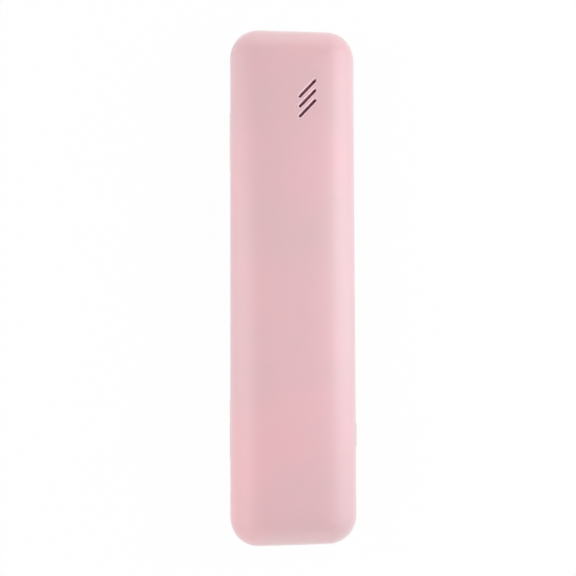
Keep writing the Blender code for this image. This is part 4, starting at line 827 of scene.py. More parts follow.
@dataclass(frozen=True)
class EasedPart:
    """A piece that keeps its solids' shape and gets rounded edges, one copy for each solid."""

    nodes: tuple[str, ...]
    finish: Finish
    slot: str
    ease: float
    body: Body = Body.BASE
    steps: int = 2
    name: str = "{}_eased"
    flat_deg: float = 0.6
    sharp_deg: float = 40.0

    def refined(self, node: str) -> Item:
        """Copies a solid's mesh, closes it, and rounds its sharp edges a little.

        Args:
            node: The solid's name.

        Returns:
            The copy, not yet dressed.
        """
        bm = bmesh.new()
        bm.from_mesh(bpy.data.objects[node].data)
        bmesh.ops.remove_doubles(bm, verts=bm.verts, dist=WELD)
        flat = math.radians(self.flat_deg)
        bmesh.ops.dissolve_limit(bm, angle_limit=flat, verts=bm.verts, edges=bm.edges)
        made = new_object(self.name.format(node), bm)
        bevel = made.modifiers.new("ease", "BEVEL")
        bevel.width = self.ease
        bevel.segments = self.steps
        bevel.limit_method = "ANGLE"
        bevel.angle_limit = math.radians(self.sharp_deg)
        bevel.use_clamp_overlap = True
        weigh = made.modifiers.new("even_shading", "WEIGHTED_NORMAL")
        weigh.keep_sharp = True
        made.data.shade_smooth()
        return settle(made, self.sharp_deg)

    def build(self) -> Item:
        """Makes and dresses the copies.

        Returns:
            The last copy.
        """
        for node in self.nodes:
            made = finish_piece(self.refined(node), self.finish, self.body, [node])
        return made


class NodeTool:
    """A Geometry Nodes tree with named inputs, used once on a carrier and then turned into a mesh."""

    def __init__(self, name: str) -> None:
        """Args:
            name: The tree's name.
        """
        self.tree = bpy.data.node_groups.new(name, "GeometryNodeTree")
        self.graph = Graph(self.tree)
        for side in ("INPUT", "OUTPUT"):
            self.tree.interface.new_socket("Geometry", in_out=side, socket_type="NodeSocketGeometry")
        self.entry = self.tree.nodes.new("NodeGroupInput")
        self.values: dict[str, object] = {}

    def size(self, name: str, value: object, kind: str = "Float") -> Socket:
        """Adds a named input and returns the socket that it feeds.

        Args:
            name: The input's name.
            value: What it is set to.
            kind: What it holds.

        Returns:
            The socket inside the tree.
        """
        self.tree.interface.new_socket(name, in_out="INPUT", socket_type=f"NodeSocket{kind}")
        self.values[name] = value
        return self.entry.outputs[name]

    def attribute(self, name: str, kind: str = "FLOAT") -> Socket:
        """Returns a value that the carrier's points hold."""
        read = self.graph.node("GeometryNodeInputNamedAttribute", {"Name": name}, data_type=kind)
        return read.outputs[0]

    def crown(self, x: Feed, y: Feed, crown: Feed, half_x: Feed, half_y: Feed) -> Socket:
        """Gives the height of the lid's crown over a place.

        Args:
            x: The place's x.
            y: The place's y.
            crown: The crown's full height.
            half_x: Half of the case's width.
            half_y: Half of the case's length.

        Returns:
            The height.
        """
        g = self.graph
        falls = []
        for place, half, power in ((x, half_x, 2.0), (y, half_y, 4.0)):
            share = g.math("ABSOLUTE", g.math("DIVIDE", place, half))
            falls.append(g.math("MAXIMUM", g.less(1.0, g.math("POWER", share, power)), 0.0))
        return g.product(*falls, crown)

    def copies(self, points: Feed, piece: Feed, turn: Feed) -> Socket:
        """Sets copies of an object's mesh on points.

        Args:
            points: The points.
            piece: The object.
            turn: The turn that each copy gets.

        Returns:
            The copies, not yet real.
        """
        info = self.graph.node("GeometryNodeObjectInfo", {"Object": piece})
        feeds = {"Points": points, "Instance": info.outputs["Geometry"], "Rotation": turn}
        return self.graph.node("GeometryNodeInstanceOnPoints", feeds).outputs[0]

    def realized(self, geometry: Socket) -> Socket:
        """Returns geometry whose instances are real."""
        return self.graph.node("GeometryNodeRealizeInstances", {"Geometry": geometry}).outputs[0]

    def finish(self, geometry: Socket, finish: Finish) -> None:
        """Ends the tree: instances become real, and all of it takes one material.

        Args:
            geometry: What the tree makes.
            finish: The finish that it takes.
        """
        feeds = {"Geometry": self.realized(geometry), "Material": material_of(finish)}
        dressed = self.graph.node("GeometryNodeSetMaterial", feeds)
        self.tree.links.new(dressed.outputs[0], self.tree.nodes.new("NodeGroupOutput").inputs[0])

    def run(self, carrier: Item, sharp_deg: float = 35.0) -> Item:
        """Puts the tree on a carrier, sets its inputs and keeps the plain result.

        Args:
            carrier: The object that the tree works on.
            sharp_deg: Edges that turn more than this stay sharp.

        Returns:
            The carrier with its new mesh.
        """
        modifier = carrier.modifiers.new(self.tree.name, "NODES")
        modifier.node_group = self.tree
        for item in self.tree.interface.items_tree:
            if item.item_type == "SOCKET" and item.in_out == "INPUT" and item.name in self.values:
                modifier[item.identifier] = self.values[item.name]
        return settle(carrier, sharp_deg)


@dataclass(frozen=True)
class PieceSet:
    """One small piece, set out at several places as a single piece of the case."""

    name: str
    finish: Finish
    slot: str
    body: Body = Body.BASE
    nodes: Sequence[str] = ()
    turn: Point = UNTURNED

    def build(self, seed_piece: Item, places: Sequence[Sequence[float]]) -> Item:
        """Sets the copies out and dresses them.

        Args:
            seed_piece: The small piece, at the origin, which is used up.
            places: Where the copies go.

        Returns:
            The piece that holds all the copies.
        """
        carrier = linked(self.name)
        carrier.data.from_pydata([tuple(place) for place in places], [], [])
        tool = NodeTool(f"{self.name}_copies")
        piece = tool.size("Piece", seed_piece, "Object")
        turn = tool.size("Turn", self.turn, "Rotation")
        tool.finish(tool.copies(tool.entry.outputs[0], piece, turn), self.finish)
        made = tool.run(carrier)
        bpy.data.objects.remove(seed_piece, do_unlink=True)
        return finish_piece(made, self.finish, self.body, self.nodes)


@dataclass
class ShellHalf:
    """One half of the case as a closed wall, by one rule: a rounded plan, a rounded edge, a crown."""

    name: str
    rim: float
    wall_top: float
    edge_radius: float
    crown: float
    up: float
    shoulder: float = 0.0
    shoulder_share: float = 0.4
    rim_round: float = 0.0003
    corner_steps: int = 14
    long_steps: int = 44
    short_steps: int = 10
    edge_steps: int = 16
    top_steps: int = 12
    rim_steps: int = 3
    weld: float = 0.000002
    least_turn: float = 0.0001

    VECTORS = ("core", "outward")
    NUMBERS = ("turn", "rise", "spread", "rim_in", "rim_up", "inner")

    def outline(self) -> list[tuple[Point, Point]]:
        """Gives the points round the plan.

        Returns:
            Each point's place on the inner rectangle and its way out.
        """
        corners = ((1, 1), (-1, 1), (-1, -1), (1, -1))
        points = []
        for number, (sx, sy) in enumerate(corners):
            for step in range(self.corner_steps + 1):
                turn = math.pi / 2 * (number + step / self.corner_steps)
                points.append(((sx, sy, 0.0), (math.cos(turn), math.sin(turn), 0.0)))
            ahead = corners[(number + 1) % 4]
            steps = self.short_steps if number % 2 == 0 else self.long_steps
            way = math.pi / 2 * (number + 1)
            for step in range(1, steps):
                share = step / steps
                core = (sx + (ahead[0] - sx) * share, sy + (ahead[1] - sy) * share, 0.0)
                points.append((core, (math.cos(way), math.sin(way), 0.0)))
        return points

    def rings(self) -> list[dict[str, float]]:
        """Gives the rings of the wall, with the numbers that place each ring.

        Returns:
            The rings from the middle of the inside, over the rim, to the middle of the outside.
        """
        wall = [{"turn": step / self.edge_steps, "rise": 1.0} for step in range(self.edge_steps + 1)]
        tops = range(1, self.top_steps + 1)
        wall += [{"turn": 1.0, "rise": 1.0, "spread": step / self.top_steps} for step in tops]
        inside = [dict(ring, inner=1.0) for ring in reversed([{"rise": 0.0}, {"rise": 0.5}, *wall])]
        turns = [math.pi / 2 * step / self.rim_steps for step in range(self.rim_steps + 1)]
        over_rim = [{"rim_in": 1 - math.sin(turn), "rim_up": 1 - math.cos(turn)} for turn in turns]
        return [*inside, *over_rim, {"rise": 0.5, "rim_up": 1.0}, *wall]

    def lattice(self) -> Item:
        """Makes the rings' mesh.

        Returns:
            The mesh's object, whose points hold what the rule needs.
        """
        outline = self.outline()
        rings = self.rings()
        count = len(outline)
        faces = []
        for low in range(0, (len(rings) - 1) * count, count):
            for i in range(count):
                after = (i + 1) % count
                faces.append((low + i, low + after, low + count + after, low + count + i))
        made = linked(self.name)
        spots = [(float(i), float(row), 0.0) for row in range(len(rings)) for i in range(count)]
        made.data.from_pydata(spots, [], faces)
        for part, key in enumerate(self.VECTORS):
            data = made.data.attributes.new(key, "FLOAT_VECTOR", "POINT").data
            data.foreach_set("vector", [c for _ in rings for point in outline for c in point[part]])
        for key in self.NUMBERS:
            data = made.data.attributes.new(key, "FLOAT", "POINT").data
            data.foreach_set("value", [ring.get(key, 0.0) for ring in rings for _ in range(count)])
        return made

    def shoulder_drop(self, tool: NodeTool, angle: Feed) -> Socket:
        """Gives how far the outside drops where the edge runs out, so that it eases into the flat.

        Args:
            tool: The node tree.
            angle: The angle along the rounded edge, a right angle where it meets the flat.

        Returns:
            The drop, nothing on the inside and at the wall.
        """
        g = tool.graph
        depth = tool.size("Shoulder", self.shoulder)
        share = g.less(1.0, g.math("DIVIDE", tool.attribute("spread"), self.shoulder_share))
        share = g.math("POWER", g.math("MAXIMUM", share, 0.0), 2.0)
        slope = 2 * self.edge_radius / (self.shoulder_share * (SIZES.width / 2 - self.edge_radius))
        along = g.math("ADD", 1.0, g.product(slope, g.math("COSINE", angle)))
        round_part = g.product(g.math("POWER", g.math("SINE", angle), 2.0), along)
        return g.product(depth, g.less(1.0, tool.attribute("inner")), g.product(share, round_part))

    def build(self, finish: Finish) -> Item:
        """Makes the half.

        Args:
            finish: Its finish.

        Returns:
            The closed shell, with no holes in it yet.
        """
        tool = NodeTool(f"{self.name}_rule")
        g = tool.graph
        half_x = tool.size("Half Width", SIZES.width / 2)
        half_y = tool.size("Half Length", SIZES.length / 2)
        corner = tool.size("Corner Radius", SIZES.corner_radius)
        edge = tool.size("Edge Radius", self.edge_radius)
        wall = tool.size("Wall", SIZES.wall)
        rim = tool.size("Rim Height", self.rim)
        wall_top = tool.size("Wall Top", self.wall_top)
        rim_round = tool.size("Rim Round", self.rim_round)
        crown = tool.size("Crown", self.crown)
        up = tool.size("Up", self.up)

        inner = g.product(tool.attribute("inner"), wall)
        angle = g.product(tool.attribute("turn"), math.pi / 2)
        radius = g.less(edge, inner)
        drawn_in = g.product(radius, g.less(1.0, g.math("COSINE", angle)))
        rim_in = g.product(tool.attribute("rim_in"), rim_round)
        radial = g.less(g.less(corner, inner), g.math("ADD", rim_in, drawn_in))
        core = tool.attribute("core", "FLOAT_VECTOR")
        room = g.joined(g.less(half_x, corner), g.less(half_y, corner), 0.0)
        outward = g.scaled(tool.attribute("outward", "FLOAT_VECTOR"), radial)
        edge_place = g.vector("ADD", g.vector("MULTIPLY", core, room), outward)
        spine = g.product(g.parts(core)[1], g.less(half_y, half_x))
        feeds = {"Factor": tool.attribute("spread"), 4: edge_place, 5: g.joined(0.0, spine, 0.0)}
        x, y, _ = g.parts(g.node("ShaderNodeMix", feeds, data_type="VECTOR").outputs[1])

        foot = g.math("ADD", rim, g.product(up, g.product(tool.attribute("rim_up"), rim_round)))
        climb = g.product(tool.attribute("rise"), g.less(wall_top, foot))
        arch = g.product(up, g.product(radius, g.math("SINE", angle)))
        arched = g.math("GREATER_THAN", tool.attribute("turn"), self.least_turn)
        lift = g.product(arched, tool.crown(x, y, crown, half_x, half_y))
        lift = g.less(lift, self.shoulder_drop(tool, angle))
        height = g.math("ADD", g.math("ADD", foot, climb), g.math("ADD", arch, lift))
        feeds = {"Geometry": tool.entry.outputs[0], "Position": g.joined(x, y, height)}
        placed = g.node("GeometryNodeSetPosition", feeds).outputs[0]
        closed = g.node("GeometryNodeMergeByDistance", {"Geometry": placed, "Distance": self.weld})
        tool.finish(closed.outputs[0], finish)
        made = tool.run(self.lattice(), sharp_deg=30.0)
        for key in self.VECTORS + self.NUMBERS:
            if key in made.data.attributes:
                made.data.attributes.remove(made.data.attributes[key])
        return made


@dataclass
class HingeSide:
    """The cuts and knuckles that let the lid swing on the base."""

    stations: tuple[float, float] = (-SIZES.hinge_y, SIZES.hinge_y)
    gap: float = 0.0003
    block_half: float = 0.005
    gusset_height: float = 0.0034
    gusset_shares: tuple[float, float] = (0.2, 0.97)
    facets: int = 40
    bore_facets: int = 28
    ease: float = 0.00025

    def spans(self, of_lid: bool) -> list[tuple[float, float]]:
        """Gives the knuckles of one half.

        Args:
            of_lid: Whether it is the lid.

        Returns:
            The low and high y of each knuckle.
        """
        steps = (0.0,) if of_lid else (-SIZES.knuckle_step, SIZES.knuckle_step)
        middles = [station + step for station in self.stations for step in steps]
        return [(m - SIZES.knuckle_length / 2, m + SIZES.knuckle_length / 2) for m in middles]

    def add_to(self, shell: Item, of_lid: bool) -> None:
        """Cuts one half free along its hinge and gives it its knuckles.

        Args:
            shell: The half.
            of_lid: Whether it is the lid.
        """
        side = 1 if of_lid else -1
        slope = math.radians(SIZES.chamfer_deg)
        normal = Vector((math.sin(slope), 0.0, side * math.cos(slope)))
        centre = Vector((SIZES.hinge_x, 0.0, SIZES.hinge_z)) + normal * (self.gap - self.block_half)
        corner = Vector((self.block_half, SIZES.length / 2, self.block_half))
        block = boxes("hinge_chamfer", [(-corner, corner)])
        lean = Matrix.Rotation(-side * (math.pi / 2 - slope), 4, "Y")
        block.data.transform(Matrix.Translation(centre) @ lean)
        carve(shell, block)
        room = []
        for low, high in self.spans(not of_lid):
            middle = (SIZES.hinge_x, (low + high) / 2, SIZES.hinge_z)
            room.append((middle, SIZES.knuckle_radius + self.gap, high - low + 2 * self.gap))
        carve(shell, rods("knuckle_room", room, Axis.Y, self.facets))
        knuckles = []
        gussets = []
        foot = SIZES.hinge_z + side * self.gusset_height
        heights = (min(SIZES.hinge_z, foot), max(SIZES.hinge_z, foot))
        near, far = (SIZES.hinge_x + share * SIZES.knuckle_radius for share in self.gusset_shares)
        for low, high in self.spans(of_lid):
            middle = (SIZES.hinge_x, (low + high) / 2, SIZES.hinge_z)
            knuckles.append((middle, SIZES.knuckle_radius, high - low))
            gussets.append(((near, low + self.gap, heights[0]), (far, high - self.gap, heights[1])))
        carve(shell, rods("knuckles", knuckles, Axis.Y, self.facets, self.ease), "UNION")
        carve(shell, boxes("gussets", gussets), "UNION")
        length = 3 * SIZES.knuckle_step
        bores = [((SIZES.hinge_x, y, SIZES.hinge_z), SIZES.pin_bore, length) for y in self.stations]
        carve(shell, rods("pin_bores", bores, Axis.Y, self.bore_facets))


def add_shelves(shell: Item, half: Body, side: int) -> None:
    """Adds the shelf that each magnet of one half sits against.

    Args:
        shell: The half's shell.
        half: The half's body.
        side: 1 for shelves over the magnets, -1 for shelves under them.
    """
    spans = []
    for place in ("lower", "upper"):
        low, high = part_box(f"{half.value}_magnet_{place}")
        near = (high.z if side > 0 else low.z) + side * SIZES.seat_gap
        bottom, top = sorted((near, near + side * SIZES.shelf_thickness))
        start = (SIZES.shelf_x[0], low.y - SIZES.shelf_reach, bottom)
        spans.append((start, (SIZES.shelf_x[1], high.y + SIZES.shelf_reach, top)))
    carve(shell, boxes(f"{half.value}_shelves", spans), "UNION")


@dataclass
class VentSlots:
    """Three slanted slots through the lid, and the woven sheet that shows dark behind them."""

    count: int = 3
    length: float = 0.0099
    width: float = 0.00118
    pitch: float = 0.0039
    angle_deg: float = 47.0
    x: float = 0.0052
    y: float = 0.0723
    ease: float = 0.00038
    reach: tuple[float, float] = (-0.004, 0.002)
    rim_depth: float = 1.2
    rim_spread: float = 0.98
    rim_tilt: tuple[float, float] = (0.05, 0.99)
    thread: float = 0.00015
    thread_facets: int = 5
    mesh_pitch: float = 0.00042
    border: float = 0.0010
    border_overcut: float = 0.001

    def cutters(self, finish: Finish) -> Item:
        """Makes the cutters for all the slots, which follow the lid's crown.

        Args:
            finish: The finish of the faces that they leave.

        Returns:
            One object that holds them all.
        """
        levels = eased_levels(self.reach[0], self.ease, self.reach[1])
        seed_piece = slotted("slot_cutter", self.length, self.width, levels)
        tool = NodeTool("vent_row")
        g = tool.graph
        piece = tool.size("Slot", seed_piece, "Object")
        count = tool.size("Count", self.count, "Int")
        pitch = tool.size("Pitch", self.pitch)
        middle_x = tool.size("Middle X", self.x)
        middle_y = tool.size("Middle Y", self.y)
        flat = tool.size("Flat Height", SIZES.lid_flat)
        angle = tool.size("Angle", math.radians(self.angle_deg))
        crown = tool.size("Crown", SIZES.crown)
        first = g.product(g.less(count, 1.0), pitch, -0.5)
        start = g.joined(middle_x, g.math("ADD", middle_y, first), flat)
        feeds = {"Count": count, "Start Location": start, "Offset": g.joined(0.0, pitch, 0.0)}
        line = g.node("GeometryNodeMeshLine", feeds)
        row = tool.realized(tool.copies(line.outputs[0], piece, g.joined(0.0, 0.0, angle)))
        x, y, _ = g.parts(g.node("GeometryNodeInputPosition").outputs[0])
        lift = g.joined(0.0, 0.0, tool.crown(x, y, crown, SIZES.width / 2, SIZES.length / 2))
        raised = g.node("GeometryNodeSetPosition", {"Geometry": row, "Offset": lift})
        tool.finish(raised.outputs[0], finish)
        made = tool.run(linked("vent_cutters"))
        bpy.data.objects.remove(seed_piece, do_unlink=True)
        return made

    def on_rim(self, face: bpy.types.MeshPolygon) -> bool:
        """Says whether a face is on the rounded rim of a slot, which is painted a lighter pink as a
        highlight.

        Args:
            face: A face of the lid.

        Returns:
            Whether it is.
        """
        spot = face.center
        top = SIZES.lid_flat + SIZES.crown_at(spot.x, spot.y)
        steep, flat = self.rim_tilt
        if spot.z < top - self.rim_depth * self.ease or not steep <= face.normal.z <= flat:
            return False
        angle = math.radians(self.angle_deg)
        for i in range(self.count):
            y = spot.y - self.y - (i - (self.count - 1) / 2) * self.pitch
            x = spot.x - self.x
            along = x * math.cos(angle) + y * math.sin(angle)
            across = y * math.cos(angle) - x * math.sin(angle)
            past_end = max(abs(along) - (self.length - self.width) / 2, 0.0)
            if math.hypot(past_end, across) < self.width / 2 + self.ease * self.rim_spread:
                return True
        return False

    def build_weave(self) -> Item:
        """Makes the sheet of crossed threads in a flat border, in the place of its solid.

        Returns:
            The sheet.
        """
        low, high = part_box("vent_mesh")
        tool = NodeTool("vent_threads")
        g = tool.graph
        size_x = tool.size("Size X", high.x - low.x - self.border)
        size_y = tool.size("Size Y", high.y - low.y - self.border)
        pitch = tool.size("Pitch", self.mesh_pitch)
        radius = tool.size("Thread Radius", self.thread)
        centre = tool.size("Centre", (low + high) / 2, "Vector")
        feeds = {"Size X": size_x, "Size Y": size_y}
        for name, size in (("Vertices X", size_x), ("Vertices Y", size_y)):
            feeds[name] = g.math("ROUND", g.math("DIVIDE", size, pitch))
        grid = g.node("GeometryNodeMeshGrid", feeds)
        moved = g.node("GeometryNodeTransform", {"Geometry": grid.outputs[0], "Translation": centre})
        lines = g.node("GeometryNodeMeshToCurve", {"Mesh": moved.outputs[0]})
        feeds = {"Resolution": self.thread_facets, "Radius": radius}
        circle = g.node("GeometryNodeCurvePrimitiveCircle", feeds)
        feeds = {"Curve": lines.outputs[0], "Profile Curve": circle.outputs["Curve"]}
        tool.finish(g.node("GeometryNodeCurveToMesh", feeds).outputs[0], VENT_WEAVE)
        made = tool.run(linked("vent_weave"), sharp_deg=60.0)
        self.add_border(made, low, high)
        return finish_piece(made, VENT_WEAVE, Body.LID, ["vent_mesh"])

    def add_border(self, weave: Item, low: Vector, high: Vector) -> None:
        """Adds the flat border that holds the threads.

        Args:
            weave: The threads.
            low: The sheet's low corner.
            high: The sheet's high corner.
        """
        frame = boxes("vent_border", [(low, high)])
        inset = Vector((self.border, self.border, -self.border_overcut))
        carve(frame, boxes("vent_border_hole", [(low + inset, high - inset)]))
        settle(frame)
        bm = bmesh.new()
        for piece in (weave, frame):
            bm.from_mesh(piece.data)
        bm.to_mesh(weave.data)
        bm.free()
        bpy.data.objects.remove(frame, do_unlink=True)


@dataclass
class ScrewHead:
    """A pan-head screw with a cross recess. Its profile's numbers are shares of the head."""

    head_radius: float
    head_height: float
    shank_radius: float
    length: float
    flat_share: float = 0.35
    rim_share: float = 0.45
    rim_ease: float = 0.00008
    turn_height: float = 0.0005
    root_share: float = 0.82
    tip_share: float = 0.4
    recess_reach: float = 0.62
    recess_half: float = 0.13
    recess_floor: float = 0.42
    recess_overcut: float = 0.0001
    dome_steps: int = 5
    facets: int = 20

    def profile(self) -> list[tuple[float, float]]:
        """Gives the screw's half section.

        Returns:
            Radius and height from the middle of the head's top down to the tip.
        """
        head = self.head_radius
        points = [(0.0, self.head_height)]
        for step in range(1, self.dome_steps + 1):
            turn = math.pi / 2 * step / self.dome_steps
            x = head * (self.flat_share + (1 - self.flat_share) * math.sin(turn))
            rise = self.rim_share + (1 - self.rim_share) * math.cos(turn)
            points.append((x, self.head_height * rise))
        points += [(head, self.rim_ease), (head - self.rim_ease, 0.0), (self.shank_radius, 0.0)]
        flanks = 2 * max(3, int(self.length / self.turn_height))
        for step in range(flanks):
            share = 1.0 if step % 2 else self.root_share
            points.append((self.shank_radius * share, -self.length * (step + 1) / (flanks + 2)))
        return points + [(self.shank_radius * self.tip_share, -self.length), (0.0, -self.length)]

    def build(self, name: str) -> Item:
        """Makes the screw.

        Args:
            name: The object's name.

        Returns:
            The screw, with the bearing face of its head at the origin.
        """
        bm = bmesh.new()
        verts = [bm.verts.new((x, 0.0, z)) for x, z in self.profile()]
        edges = [bm.edges.new(pair) for pair in zip(verts, verts[1:])]
        bmesh.ops.spin(bm, geom=verts + edges, axis=(0, 0, 1), steps=self.facets, angle=2 * math.pi)
        bmesh.ops.remove_doubles(bm, verts=bm.verts, dist=1e-6)
        bmesh.ops.recalc_face_normals(bm, faces=bm.faces)
        made = new_object(name, bm)
        arm = self.head_radius * self.recess_reach
        thin = self.head_radius * self.recess_half
        bottom = self.head_height * self.recess_floor
        top = self.head_height + self.recess_overcut
        for x, y in ((arm, thin), (thin, arm)):
            carve(made, boxes("recess", [((-x, -y, bottom), (x, y, top))]))
        return settle(made, sharp_deg=30.0)


@dataclass
class Screws:
    """All the screws, set out in three groups that each ride on one body."""

    tray: ScrewHead = field(default_factory=lambda: ScrewHead(0.0019, 0.0011, 0.0009, 0.0048))
    liner: ScrewHead = field(default_factory=lambda: ScrewHead(0.0019, 0.0011, 0.0009, 0.0037))
    board: ScrewHead = field(default_factory=lambda: ScrewHead(0.0015, 0.0009, 0.0006, 0.0025))
    turn_in_plan: float = 0.35

    def build(self) -> None:
        """Makes the screws of the tray, of the boards and of the lid's liner."""
        groups = (
            ("tray_screws", self.tray, ("tray_screw_",), Body.BASE),
            ("board_screws", self.board, ("pcb_screw_", "board_screw_"), Body.BASE),
            ("liner_screws", self.liner, ("liner_screw_",), Body.LID),
        )
        for name, screw, starts, body in groups:
            nodes = nodes_named(*starts)
            in_lid = body is Body.LID
            places = [middle_of(node) for node in nodes]
            for node, place in zip(nodes, places):
                low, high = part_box(node)
                place.z = low.z + screw.head_height if in_lid else high.z - screw.head_height
            turn = (math.pi if in_lid else 0.0, 0.0, self.turn_in_plan)
            group = PieceSet(name, SCREW_STEEL, "zinc_steel", body, nodes, turn)
            group.build(screw.build(f"{name}_one"), places)


@dataclass
class LidAssembly:
    """The crowned lid with its liner, its mirror plate and its vents."""

    vents: VentSlots = field(default_factory=VentSlots)
    shoulder: float = 0.0003
    boss_radius: float = 0.0021
    bore_radius: float = 0.00105
    bore_lift: float = 0.0002
    bore_facets: int = 20
    parts: tuple[EasedPart, ...] = (
        EasedPart(("lid_liner",), WHITE_MOULDING, "white_moulding", 0.0003, Body.LID, 3, "{}_moulded"),
        EasedPart(("reflector_plate",), MIRROR, "polished_sheet", 0.0001, Body.LID, 2, "reflector_sheet"),
    )

    def build_shell(self) -> None:
        """Makes the lid's shell with its hinge, bosses, magnet shelves and slots."""
        wall_top = SIZES.lid_flat - SIZES.lid_edge
        sizes = (SIZES.lid_rim, wall_top, SIZES.lid_edge, SIZES.crown, 1.0, self.shoulder)
        shell = ShellHalf("lid_shell_moulded", *sizes).build(SHELL_PINK)
        HingeSide().add_to(shell, of_lid=True)
        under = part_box("lid_liner")[1].z + SIZES.seat_gap
        posts = []
        bores = []
        for node in nodes_named("liner_screw_"):
            low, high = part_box(node)
            x, y, z = middle_of(node)
            top = SIZES.lid_flat + SIZES.crown_at(x, y) - SIZES.wall / 2
            posts.append(((x, y, (under + top) / 2), self.boss_radius, top - under))
            bores.append(((x, y, z + self.bore_lift), self.bore_radius, high.z - low.z))
        carve(shell, rods("lid_bosses", posts), "UNION")
        carve(shell, rods("lid_bores", bores, Axis.Z, self.bore_facets))
        add_shelves(shell, Body.LID, 1)
        carve(shell, self.vents.cutters(SHELL_PINK))
        settle(shell, sharp_deg=30.0)
        finish_piece(shell, SHELL_PINK, Body.LID, ["lid_shell"])
        # The slots' rounded rims take a lighter pink, a painted highlight.
        retouch(shell, SLOT_RIM_HIGHLIGHT, self.vents.on_rim)

    def build(self) -> None:
        """Makes the whole lid."""
        self.build_shell()
        for part in self.parts:
            part.build()
        self.vents.build_weave()


@dataclass
class BaseAssembly:
    """The base's shell with its bosses, fences, shelves and openings, its tray and its button."""

    boss_wall: float = 0.0012
    boss_foot: float = 0.001
    tray_seat: float = 0.0092
    bore_gap: float = 0.00015
    bore_top: float = 0.02
    bore_facets: int = 20
    fence_height: float = 0.0026
    fence_length: float = 0.006
    fence_thickness: float = 0.0012
    fence_gap: float = 0.0003
    opening_ease: float = 0.0003
    opening_reach: tuple[float, float] = (-0.005, 0.002)
    button_opening: tuple[float, float] = (0.0120, 0.0050)
    button_height: float = 0.0112
    port_opening: tuple[float, float] = (0.00954, 0.00376)
    port_inset: float = 0.0001
    light_radius: float = 0.00115
    light_length: float = 0.016
    shanks: dict[str, tuple[float, str]] = field(
        default_factory=lambda: {
            "tray_screw_": (0.0009, "inner_tray"),
            "pcb_screw_": (0.0006, "main_pcb"),
            "board_screw_": (0.0006, "uv_led_board"),
        }
    )
    parts: tuple[EasedPart, ...] = (
        EasedPart(("inner_tray",), WHITE_MOULDING, "white_moulding", 0.0003, Body.BASE, 3, "{}_moulded"),
        EasedPart(("start_button",), BUTTON_PINK, "soft_pink_button", 0.0002, Body.BUTTON, 3, "{}_cap"),
    )

    def add_bosses(self, shell: Item) -> None:
        """Adds a bored boss under every screw of the tray and the boards.

        Args:
            shell: The base.
        """
        posts = []
        bores = []
        for start, (shank, seat) in self.shanks.items():
            for node in (n for n in NODES if n.startswith(start)):
                x, y, _ = middle_of(node)
                top = (self.tray_seat if seat == "inner_tray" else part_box(seat)[0].z) - SIZES.seat_gap
                middle = (x, y, (top + self.boss_foot) / 2)
                posts.append((middle, shank + self.boss_wall, top - self.boss_foot))
                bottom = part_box(node)[0].z - SIZES.seat_gap
                middle = (x, y, (bottom + self.bore_top) / 2)
                bores.append((middle, shank + self.bore_gap, self.bore_top - bottom))
        carve(shell, rods("base_bosses", posts), "UNION")
        carve(shell, rods("base_bores", bores, Axis.Z, self.bore_facets))

    def add_fences(self, shell: Item) -> None:
        """Adds the four fences that hold the battery's ends.

        Args:
            shell: The base.
        """
        low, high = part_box("battery_cell")
        top = SIZES.wall + self.fence_height
        fences = []
        for y in (low.y - self.fence_gap - self.fence_thickness, high.y + self.fence_gap):
            for x in (low.x, high.x - self.fence_length):
                far = (x + self.fence_length, y + self.fence_thickness, top)
                fences.append(((x, y, self.boss_foot), far))
        carve(shell, boxes("battery_fences", fences), "UNION")

    def cut_side(self, shell: Item, name: str, opening: tuple[float, float], matrix: Matrix) -> None:
        """Cuts a round-ended opening with an eased edge through a wall.

        Args:
            shell: The base.
            name: The opening's name.
            opening: Its length and height.
            matrix: The place on the wall's outside, with +z pointing out of the wall.
        """
        levels = eased_levels(self.opening_reach[0], self.opening_ease, self.opening_reach[1])
        tool = slotted(name, *opening, levels)
        tool.data.transform(matrix)
        carve(shell, tool)

    def cut_openings(self, shell: Item) -> None:
        """Cuts the openings for the start button, the charging port and the charging light.

        Args:
            shell: The base.
        """
        out_x = Matrix(((0, 0, 1, 0), (1, 0, 0, 0), (0, 1, 0, 0), (0, 0, 0, 1)))
        place = Matrix.Translation((SIZES.width / 2, middle_of("start_button").y, self.button_height))
        self.cut_side(shell, "button_opening", self.button_opening, place @ out_x)
        out_y = Matrix(((1, 0, 0, 0), (0, 0, -1, 0), (0, 1, 0, 0), (0, 0, 0, 1)))
        end = -SIZES.length / 2
        height = middle_of("usb_c_port").z
        place = Matrix.Translation((0.0, end + self.port_inset, height))
        self.cut_side(shell, "port_opening", self.port_opening, place @ out_y)
        centre = (middle_of("charge_light_pipe").x, end, height)
        carve(shell, rods("light_opening", [(centre, self.light_radius, self.light_length)], Axis.Y))

    def build(self) -> None:
        """Makes the whole base apart from what the boards carry."""
        sizes = (SIZES.base_height, SIZES.base_edge, SIZES.base_edge, 0.0, -1.0)
        shell = ShellHalf("base_shell_moulded", *sizes).build(SHELL_PINK)
        HingeSide().add_to(shell, of_lid=False)
        self.add_bosses(shell)
        self.add_fences(shell)
        add_shelves(shell, Body.BASE, -1)
        self.cut_openings(shell)
        settle(shell, sharp_deg=30.0)
        finish_piece(shell, SHELL_PINK, Body.BASE, ["base_shell"])
        for part in self.parts:
            part.build()


